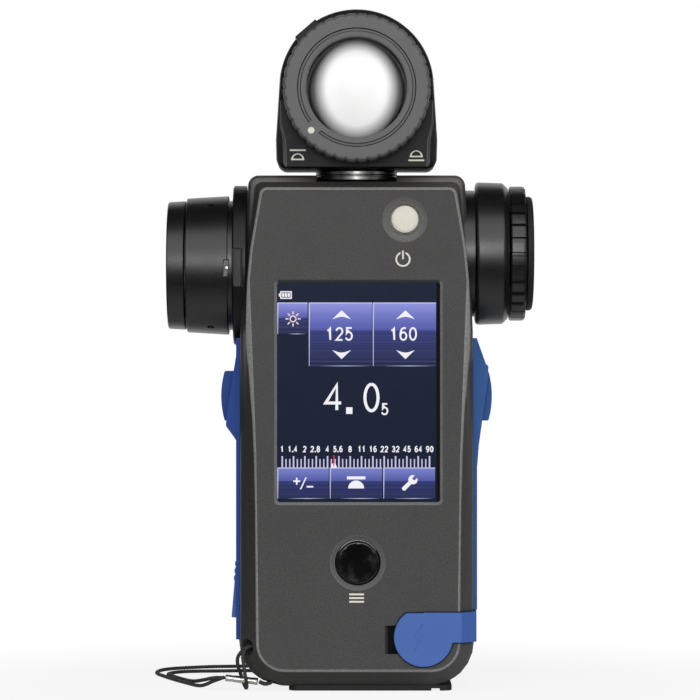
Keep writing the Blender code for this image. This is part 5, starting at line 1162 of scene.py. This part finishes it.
def dome_and_ring():
    profile = [(12.8, 15.9), (17.8, 15.9), (18.4, 16.0, True), (18.9, 16.4, True), (18.9, 22.9, True),
               (18.7, 23.5, True), (18.3, 23.9, True), (17.7, 24.0), (13.4, 24.0), (13.0, 23.9),
               (12.8, 23.6)]
    ring = turned("dome_ring", DOME_CENTRE, "front", profile, SCALLOPS * 12, scallop, hollow=True)
    profile = [(14.45, 23.6), (14.95, 23.6), (15.35, 24.2), (14.15, 24.2)]
    groove = turned("groove", DOME_CENTRE, "front", profile, 160, hollow=True)
    cut(groove, flat_piece("gap", turned_outline(DOME_CENTRE, INDEX_TURN, 10.0, 20.0, 1.75), -26, -20))
    ring = soften(cut(ring, groove), 0)
    fit(ring, "dome_ring", RING_GREY, "lumisphere_ring", slot="ring")
    paint(ring, SHADE, lambda c, n: hypot(c.x, c.z - DOME_CENTRE[2]) < 12.95 and abs(n.y) < 0.3)
    # Painted shade on the walls of the groove.
    paint(ring, CHEEK_LIGHT_AND_GROOVE_SHADE,
          lambda c, n: 14.0 < hypot(c.x, c.z - DOME_CENTRE[2]) < 15.9 and 0.3 < abs(n.y) < 0.95)
    out = Vector((cos(INDEX_TURN), 0, sin(INDEX_TURN))) * 16.0 + Vector(DOME_CENTRE)
    index = turned("index_dot", out, "front", [(0.85, 23.8), (0.85, 24.03), (0.7, 24.1)], 32)
    fit(soften(index, 0.03), "dome_ring", PRINT, slot="ivory")
    tab = flat_piece("ring_tab", turned_outline(DOME_CENTRE, radians(131), 17.0, 20.1, 3.45), -22.8, -17.1)
    fit(soften(tab, 0.25, 3), "dome_ring", HEAD_BLACK, slot="black")
    globe = [(12.3 * cos(t), 10.3 + 12.3 * sin(t)) for t in angles(24, pi / 2)]
    dome = turned("dome", DOME_CENTRE, "front", [(14.6, 3.5), (14.6, 4.7), (12.35, 4.8), *globe], 96)
    fit(soften(dome, 0), "dome", DOME_WHITE, "lumisphere", slot="dome")
    profile = [(10.15, 131.8), (10.45, 131.8), (10.6, 132.0), (10.6, 132.8), (10.45, 133.0),
               (10.25, 133.05), (10.25, 133.2), (10.45, 133.25), (10.6, 133.45), (10.6, 134.1),
               (10.45, 134.3), (10.15, 134.3)]
    collar = turned("neck_rings", (0, 0, 0), "up", profile, 96, hollow=True)
    fit(soften(collar, 0), "case", NECK_METAL, "neck_collar", slot="gloss")


head_shells()
dome_and_ring()


# Display
DOT = 0.257
SCREEN_LEFT, SCREEN_TOP = -20.4, 105.15
PANE = -15.9
SCALE = ("1", "1.4", "2", "2.8", "4", "5.6", "8", "11", "16", "22", "32", "45", "64", "90")
SCALE_STEP = 11.33


def lit_colour(red, green, blue):
    """A colour of the display, given in 255 steps as displays have them."""
    shares = (red / 255, green / 255, blue / 255)
    return tuple(c / 12.92 if c <= 0.04045 else ((c + 0.055) / 1.055) ** 2.4 for c in shares)


def glowing(name):
    """A surface of the display, dark but for its own light."""
    made = Finish(name, Base_Color=(0.001, 0.001, 0.002, 1.0), Specular_IOR_Level=0.02,
                  Emission_Strength=1.0)
    return made.set(Roughness=0.18 + 0.08 * made.noise(9.0))


def lit(name, first, second):
    """A lit area that wavers between two colours."""
    made = glowing(name)
    return made.set(Emission_Color=made.mix(made.noise(5.0), lit_colour(*first), lit_colour(*second)))


def lit_tile(name, top, bottom, stops):
    """A shaded tile between two rows of dots: pale above, a sudden step, dark below, with fine rows."""
    made = glowing(name)
    low, high = (MM * (SCREEN_TOP - DOT * row) for row in (bottom, top))
    shade = made.node("ValToRGB", {"stops": [(place, lit_colour(*colour)) for place, colour in stops]},
                      {0: made.band(made.part(2), low, high)})
    rows = made.band(made.noise(0.55, 2.0, (0.0, 0.0, 1.0)), 0.35, 0.75)
    return made.set(Emission_Color=made.mix(rows * 0.20, shade, lit_colour(124, 130, 208)))


LIT_BACK = lit("lit_navy", (21, 29, 48), (26, 34, 55))
LIT_WHITE = lit("lit_white", (236, 236, 242), (246, 246, 250))
LIT_EDGE = lit("lit_edge", (176, 180, 222), (196, 200, 232))
LIT_TICK = lit("lit_tick", (190, 186, 226), (214, 210, 240))
LIT_RED = lit("lit_red", (196, 52, 78), (216, 66, 92))
LIT_SUN = lit("lit_sun", (228, 206, 206), (240, 222, 216))
TALL_ROWS, SMALL_ROWS, LOW_ROWS = (20.1, 83.1), (20.1, 51.1), (185.1, 215.6)
TALL_STOPS = [(0.0, (24, 31, 54)), (0.3, (34, 41, 84)), (0.555, (46, 52, 110)), (0.575, (80, 86, 164)),
              (0.8, (112, 117, 193)), (1.0, (146, 150, 222))]
SMALL_STOPS = [(0.0, (24, 31, 54)), (0.5, (38, 44, 90)), (0.53, (80, 86, 164)), (1.0, (146, 150, 222))]
LOW_STOPS = [(0.0, (25, 32, 62)), (0.55, (38, 43, 94)), (0.585, (78, 86, 160)), (1.0, (122, 130, 200))]
TALL_TILE = lit_tile("lit_tall_tile", *TALL_ROWS, TALL_STOPS)
SMALL_TILE = lit_tile("lit_small_tile", *SMALL_ROWS, SMALL_STOPS)
LOW_TILE = lit_tile("lit_low_tile", *LOW_ROWS, LOW_STOPS)


def dots(across, down):
    """A place on the display, counted in dots from its upper left corner."""
    return SCREEN_LEFT + DOT * across, SCREEN_TOP - DOT * down


def shown(outline, layer=2):
    """A thin area of the display; a higher layer lies in front."""
    return flat_piece("shown", [dots(*place) for place in outline], PANE - 0.02 * layer, PANE + 0.03)


def shown_hole(outline):
    """A tool that cuts an area out of the marks of the display."""
    return flat_piece("shown_hole", [dots(*place) for place in outline], -17, -15)


def box_of(left, top, right, bottom):
    return [(left, bottom), (right, bottom), (right, top), (left, top)]


def disc_of(x, y, reach, sides=28):
    return [(x + reach * cos(t), y + reach * sin(t)) for t in angles(sides)]


def bow(x, y, across, up, start, end, count=14):
    """Points on part of an oval, its angles in degrees from the right, counted upwards."""
    turns = (radians(start + (end - start) * k / count) for k in range(count + 1))
    return [(x + across * cos(t), y - up * sin(t)) for t in turns]


STROKES = {
    "0": [bow(0.5, 0.5, 0.5, 0.5, 90, 449.9, 32)],
    "1": [[(0.12, 0.24), (0.40, 0.14), (0.58, 0.0), (0.58, 1.0)]],
    "2": [[*bow(0.5, 0.29, 0.48, 0.29, 170, -30), (0.0, 1.0), (1.0, 1.0)]],
    "3": [[*bow(0.46, 0.25, 0.44, 0.25, 160, -80), *bow(0.46, 0.73, 0.52, 0.27, 80, -160)]],
    "4": [[(0.72, 1.0), (0.72, 0.0), (0.0, 0.72), (1.0, 0.72)]],
    "5": [[(0.94, 0.0), (0.16, 0.0), (0.07, 0.50), *bow(0.46, 0.67, 0.52, 0.33, 130, -155)]],
    "6": [[*bow(0.62, 0.52, 0.60, 0.52, 65, 175), *bow(0.5, 0.68, 0.48, 0.32, 180, 529.9, 22)]],
    "8": [bow(0.5, 0.25, 0.42, 0.25, 270, 629.9, 20), bow(0.5, 0.73, 0.5, 0.27, 90, 449.9, 20)],
    "9": [[*bow(0.38, 0.48, 0.60, 0.52, 245, 355), *bow(0.5, 0.32, 0.48, 0.32, 0, 349.9, 22)]],
}


def stroke(points, width):
    """The outline of a line of one width."""
    places = [Vector(point) for point in points]
    left, right = [], []
    for i, place in enumerate(places):
        into = (place - places[i - 1]).normalized() if i else (places[1] - place).normalized()
        on = (places[i + 1] - place).normalized() if i < len(places) - 1 else into
        side = Vector((-into.y - on.y, into.x + on.x)).normalized()
        side *= width / 2 / max(side.dot(Vector((-into.y, into.x))), 0.45)
        left.append(place + side)
        right.append(place - side)
    return left + right[::-1]


def figure(sign, left, top, right, bottom, width):
    """A figure whose strokes fill a box of dots."""
    half = width / 2
    across, down = right - left - width, bottom - top - width
    return [shown(stroke([(left + half + u * across, top + half + v * down) for u, v in points], width))
            for points in STROKES[sign]]


def chevron(x, y, way):
    places = ((-9.4, 4.6), (0, -4.4), (9.4, 4.6), (3.6, 2.6), (0, 2.0), (-3.6, 2.6))
    return shown([(x + u, y + v * way) for u, v in places])


def sun_mark(x, y):
    ring = shown(disc_of(x, y, 3.5))
    cut(ring, shown(disc_of(x, y, 2.3), 9))
    rays = []
    for turn in angles(8):
        along = Vector((cos(turn), sin(turn)))
        side = Vector((-along.y, along.x)) * 0.75
        ray = ((4.6, -1), (7.6, -0.7), (7.6, 0.7), (4.6, 1))
        rays.append(shown(slanted(Vector((x, y)), along, side, ray)))
    return [ring, *rays]


def battery_mark():
    frame_piece = shown(box_of(3.0, 8.3, 14.6, 16.0))
    cut(frame_piece, shown_hole(box_of(4.2, 9.5, 13.4, 14.8)))
    return [frame_piece, shown(box_of(1.6, 10.6, 2.8, 13.7)),
            *(shown(box_of(x, 10.3, x + 2.2, 14.0)) for x in (4.9, 7.7, 10.5))]


def spanner_mark(x, y):
    """A spanner that points up to the right."""
    lean, side = Vector((0.7071, -0.7071)), Vector((0.7071, 0.7071))
    middle = Vector((x, y))
    handle = ((-9.0, -1.2), (-9.0, 1.2), (-8.0, 2.1), (3.0, 1.9), (3.0, -1.9), (-8.0, -2.1))
    jaw = shown(disc_of(*(middle + lean * 5.4), 4.6))
    mouth = ((0, -1.6), (7, -2.0), (7, 2.0), (0, 1.6))
    cut(jaw, shown_hole(slanted(middle + lean * 5.6, lean, side, mouth)))
    return [shown(slanted(middle, lean, side, handle)), jaw]


def dome_key(x, y):
    """A dome under a bar."""
    return [shown(bow(x, y + 5.1, 8.0, 7.9, 0, 180, 18)), shown(box_of(x - 9.2, y - 6.9, x + 9.2, y - 3.9))]


def sign_mark(x, y):
    """A plus and a minus with a stroke between them."""
    return [shown(box_of(x - 10.0, y - 2.9, x - 3.0, y - 1.3)),
            shown(box_of(x - 7.3, y - 5.6, x - 5.7, y + 1.4)),
            shown(box_of(x + 3.4, y + 2.6, x + 10.0, y + 4.2)),
            shown([(x - 3.4, y + 6.0), (x - 2.0, y + 6.0), (x + 3.6, y - 6.0), (x + 2.2, y - 6.0)])]


def tile(left, top, right, bottom):
    """A tile, and its pale upper and left edges with a streak of light near its foot."""
    middle = (left + right) / 2
    edges = [shown(box_of(left, top - 0.5, right, top + 0.6)),
             shown([(left - 0.1, bottom), (left + 0.5, bottom), (left + 1.0, top), (left - 0.4, top)]),
             shown([(left + 10, bottom), (middle + 4, bottom - 0.4), (right - 2, bottom),
                    (middle + 4, bottom + 0.3)])]
    return shown(box_of(left, top, right, bottom), 1), edges


def scale():
    """The figures of the scale, and its ticks with two shorter ones after each but the last."""
    figures, ticks = [], []
    for k, text in enumerate(SCALE):
        x = 5.0 + SCALE_STEP * k
        start = x - 1.9 - 1.75 * (len(text) - 1) - (0.3 if "." in text else 0.0)
        for sign in text:
            if sign == ".":
                figures.append(shown(box_of(start, 168.0, start + 1.3, 169.4)))
                start += 1.9
            else:
                figures += figure(sign, start, 163.0, start + 3.5, 169.4, 1.15)
                start += 4.1
        ticks.append(shown(box_of(x - 0.75, 173.2, x + 0.75, 184.6)))
        if k < len(SCALE) - 1:
            for middle in (x + SCALE_STEP / 3, x + SCALE_STEP * 2 / 3):
                ticks.append(shown(box_of(middle - 0.6, 176.1, middle + 0.6, 184.6)))
    return figures, ticks


def display():
    glass = flat_piece("display_glass", rounded_box(-21.8, 22.8, 47.45, 106.55, 0.6, 4), PANE, -14.6)
    fit(soften(glass, 0.1), "case", LIT_BACK, "touch_glass", slot="screen")
    edges, marks = [], battery_mark()
    tiles = {"tall_tiles": (TALL_TILE, TALL_ROWS, [(31.8, 94.8), (95.8, 158.8)]),
             "small_tile": (SMALL_TILE, SMALL_ROWS, [(0.3, 30.3)]),
             "low_tiles": (LOW_TILE, LOW_ROWS, [(0.3, 51.5), (52.8, 104.8), (106.3, 157.8)])}
    for name, (finish, (top, bottom), places) in tiles.items():
        made = [tile(left, top, right, bottom) for left, right in places]
        edges += [edge for area, group in made for edge in group]
        fit(joined(name, *(area for area, group in made)), "case", finish, slot="screen")
    for x in (64.4, 128.2):
        marks += [chevron(x, 31.8, 1), chevron(x, 71.8, -1)]
    for text, first in (("125", 48.6), ("160", 112.6)):
        for k, sign in enumerate(text):
            marks += figure(sign, first + 9.55 * k, 44.2, first + 9.55 * k + 8.0, 57.9, 1.75)
    marks += [*figure("4", 46.9, 100.6, 65.4, 128.6, 3.0), shown(box_of(68.9, 124.4, 75.2, 131.0)),
              *figure("0", 86.2, 99.9, 102.3, 129.4, 3.0), *figure("5", 103.9, 120.2, 111.2, 132.3, 1.7)]
    figures, ticks = scale()
    marks += figures
    marks += [*dome_key(78.9, 200.4), *spanner_mark(131.9, 200.6), *sign_mark(26.0, 200.4),
              shown([(53.4, 184.8), (59.8, 184.8), (58.2, 180.6), (55.0, 180.6)], 3)]
    fit(joined("lit_edges", *edges), "case", LIT_EDGE, slot="screen")
    fit(joined("lit_marks", *marks), "case", LIT_WHITE, slot="screen")
    fit(joined("lit_ticks", *ticks), "case", LIT_TICK, slot="screen")
    fit(joined("lit_sun", *sun_mark(15.8, 36.0)), "case", LIT_SUN, slot="screen")
    fit(shown(box_of(56.0, 172.4, 57.2, 183.4), 4), "case", LIT_RED, slot="screen").name = "lit_pointer"
    fit(shown(box_of(159.2, -4.0, 164.5, 223.0), 1), "case", SHADE, slot="screen").name = "dark_margin"


display()


# Pieces inside
def dress(finish, *nodes):
    """A finish on solids of the frame that keep their own shape."""
    for node in nodes:
        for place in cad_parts[node].material_slots:
            place.material = finish.material


dress(CIRCUIT, "main_board", "sensor_board", "radio_module")
dress(STEEL, "measuring_switch", "memory_switch", "power_switch", "menu_switch", "spot_sensor",
      "light_sensor", "usb_socket")
dress(NICKEL, "lower_contact", "upper_contact", "sync_socket")
dress(CELL_SLEEVE, "left_cell", "right_cell")
dress(COATED_GLASS, "spot_prism", "reticle_plate")
dress(SHADE, "cell_tray", "lcd_panel")
dress(GLOSS_BLACK, "swivel_tube")


# Light, surroundings and floor
FLOOR_WHITE = 0.85
TENT_EDGE = 1.2


def softbox(name, turn, rise, away, width, height, power):
    """A soft lamp seen from the object at an angle round it and above the floor, pointed at its middle."""
    rest()
    flat = away * cos(radians(rise))
    aim = Vector((0, 0, 0.09))
    place = aim + Vector((flat * sin(radians(turn)), -flat * cos(radians(turn)),
                          away * sin(radians(rise))))
    bpy.ops.object.light_add(type="AREA", location=place,
                             rotation=(aim - place).to_track_quat("-Z", "Y").to_euler())
    lamp = named(name).data
    lamp.shape = "RECTANGLE"
    lamp.size = width
    lamp.size_y = height
    lamp.energy = power


def surroundings(dim):
    """White where it is seen or mirrored, and a weak light elsewhere."""
    world = bpy.data.worlds.new("surroundings")
    bpy.context.scene.world = world
    wiring = Wiring(world)
    back = world.node_tree.nodes["Background"]
    rays = ("Is Camera Ray", "Is Glossy Ray", "Is Transmission Ray")
    seen = sum(wiring.node("LightPath", {}, {}, ray) for ray in rays)
    back.inputs["Color"].default_value = (1, 1, 1, 1)
    strength = wiring.node("MapRange", {"clamp": True}, {0: seen, 1: 0.0, 2: 1.0, 3: dim, 4: 1.0})
    wiring.feed(back.inputs["Strength"], strength)


def floor():
    """A pale floor that keeps the shadow and ends softly, so that the white behind it takes over."""
    rest()
    bpy.ops.mesh.primitive_circle_add(vertices=64, radius=0.3, fill_type="NGON",
                                      location=(0, 0.02, -0.0001))
    bpy.ops.object.transform_apply(location=True)
    ground = named("floor")
    pale = Finish("pale_floor", Specular_IOR_Level=0.0, Roughness=0.9)
    pale.set(Base_Color=pale.mix(pale.noise(4.0), (0.90, 0.90, 0.90), (0.93, 0.93, 0.93)))
    reach = pale.node("VectorMath", {"operation": "LENGTH"}, {0: pale.place}, "Value")
    seen = pale.node("LightPath", {}, {}, "Is Camera Ray")
    white = pale.node("Emission", {}, {"Strength": 1.0})
    clear = pale.node("BsdfTransparent", {}, {})
    shaded = Value(pale, pale.shader.outputs[0])
    lit_floor = pale.node("MixShader", {}, {0: seen * FLOOR_WHITE, 1: shaded, 2: white})
    mixed = pale.node("MixShader", {}, {0: pale.band(reach, 0.07, 0.17), 1: lit_floor, 2: clear})
    pale.feed(pale.tree.nodes["Material Output"].inputs["Surface"], mixed)
    ground.data.materials.append(pale.material)


def dark_tent():
    """The dark half of the room behind the camera, which only shows in reflections."""
    rest()
    bpy.ops.mesh.primitive_uv_sphere_add(segments=48, ring_count=24, radius=1.7, location=(0, 0, 0.09))
    tent = named("dark_tent")
    edit(tent)
    bpy.ops.mesh.bisect(plane_co=(0, TENT_EDGE, 0), plane_no=(0, 1, 0), clear_outer=True)
    bpy.ops.object.mode_set(mode="OBJECT")
    tent.data.materials.append(SHADE.material)
    for sort in ("camera", "diffuse", "transmission", "volume_scatter", "shadow"):
        setattr(tent, "visible_" + sort, False)


softbox("front_box", 0, 33, 0.95, 1.3, 1.0, 6.4)
softbox("eye_box", 0, 6, 1.1, 0.36, 0.3, 2.6)
softbox("left_box", -62, 18, 0.95, 0.35, 1.0, 0.5)
softbox("right_box", 62, 18, 0.95, 0.35, 1.0, 1.4)
surroundings(0.18)
floor()
dark_tent()
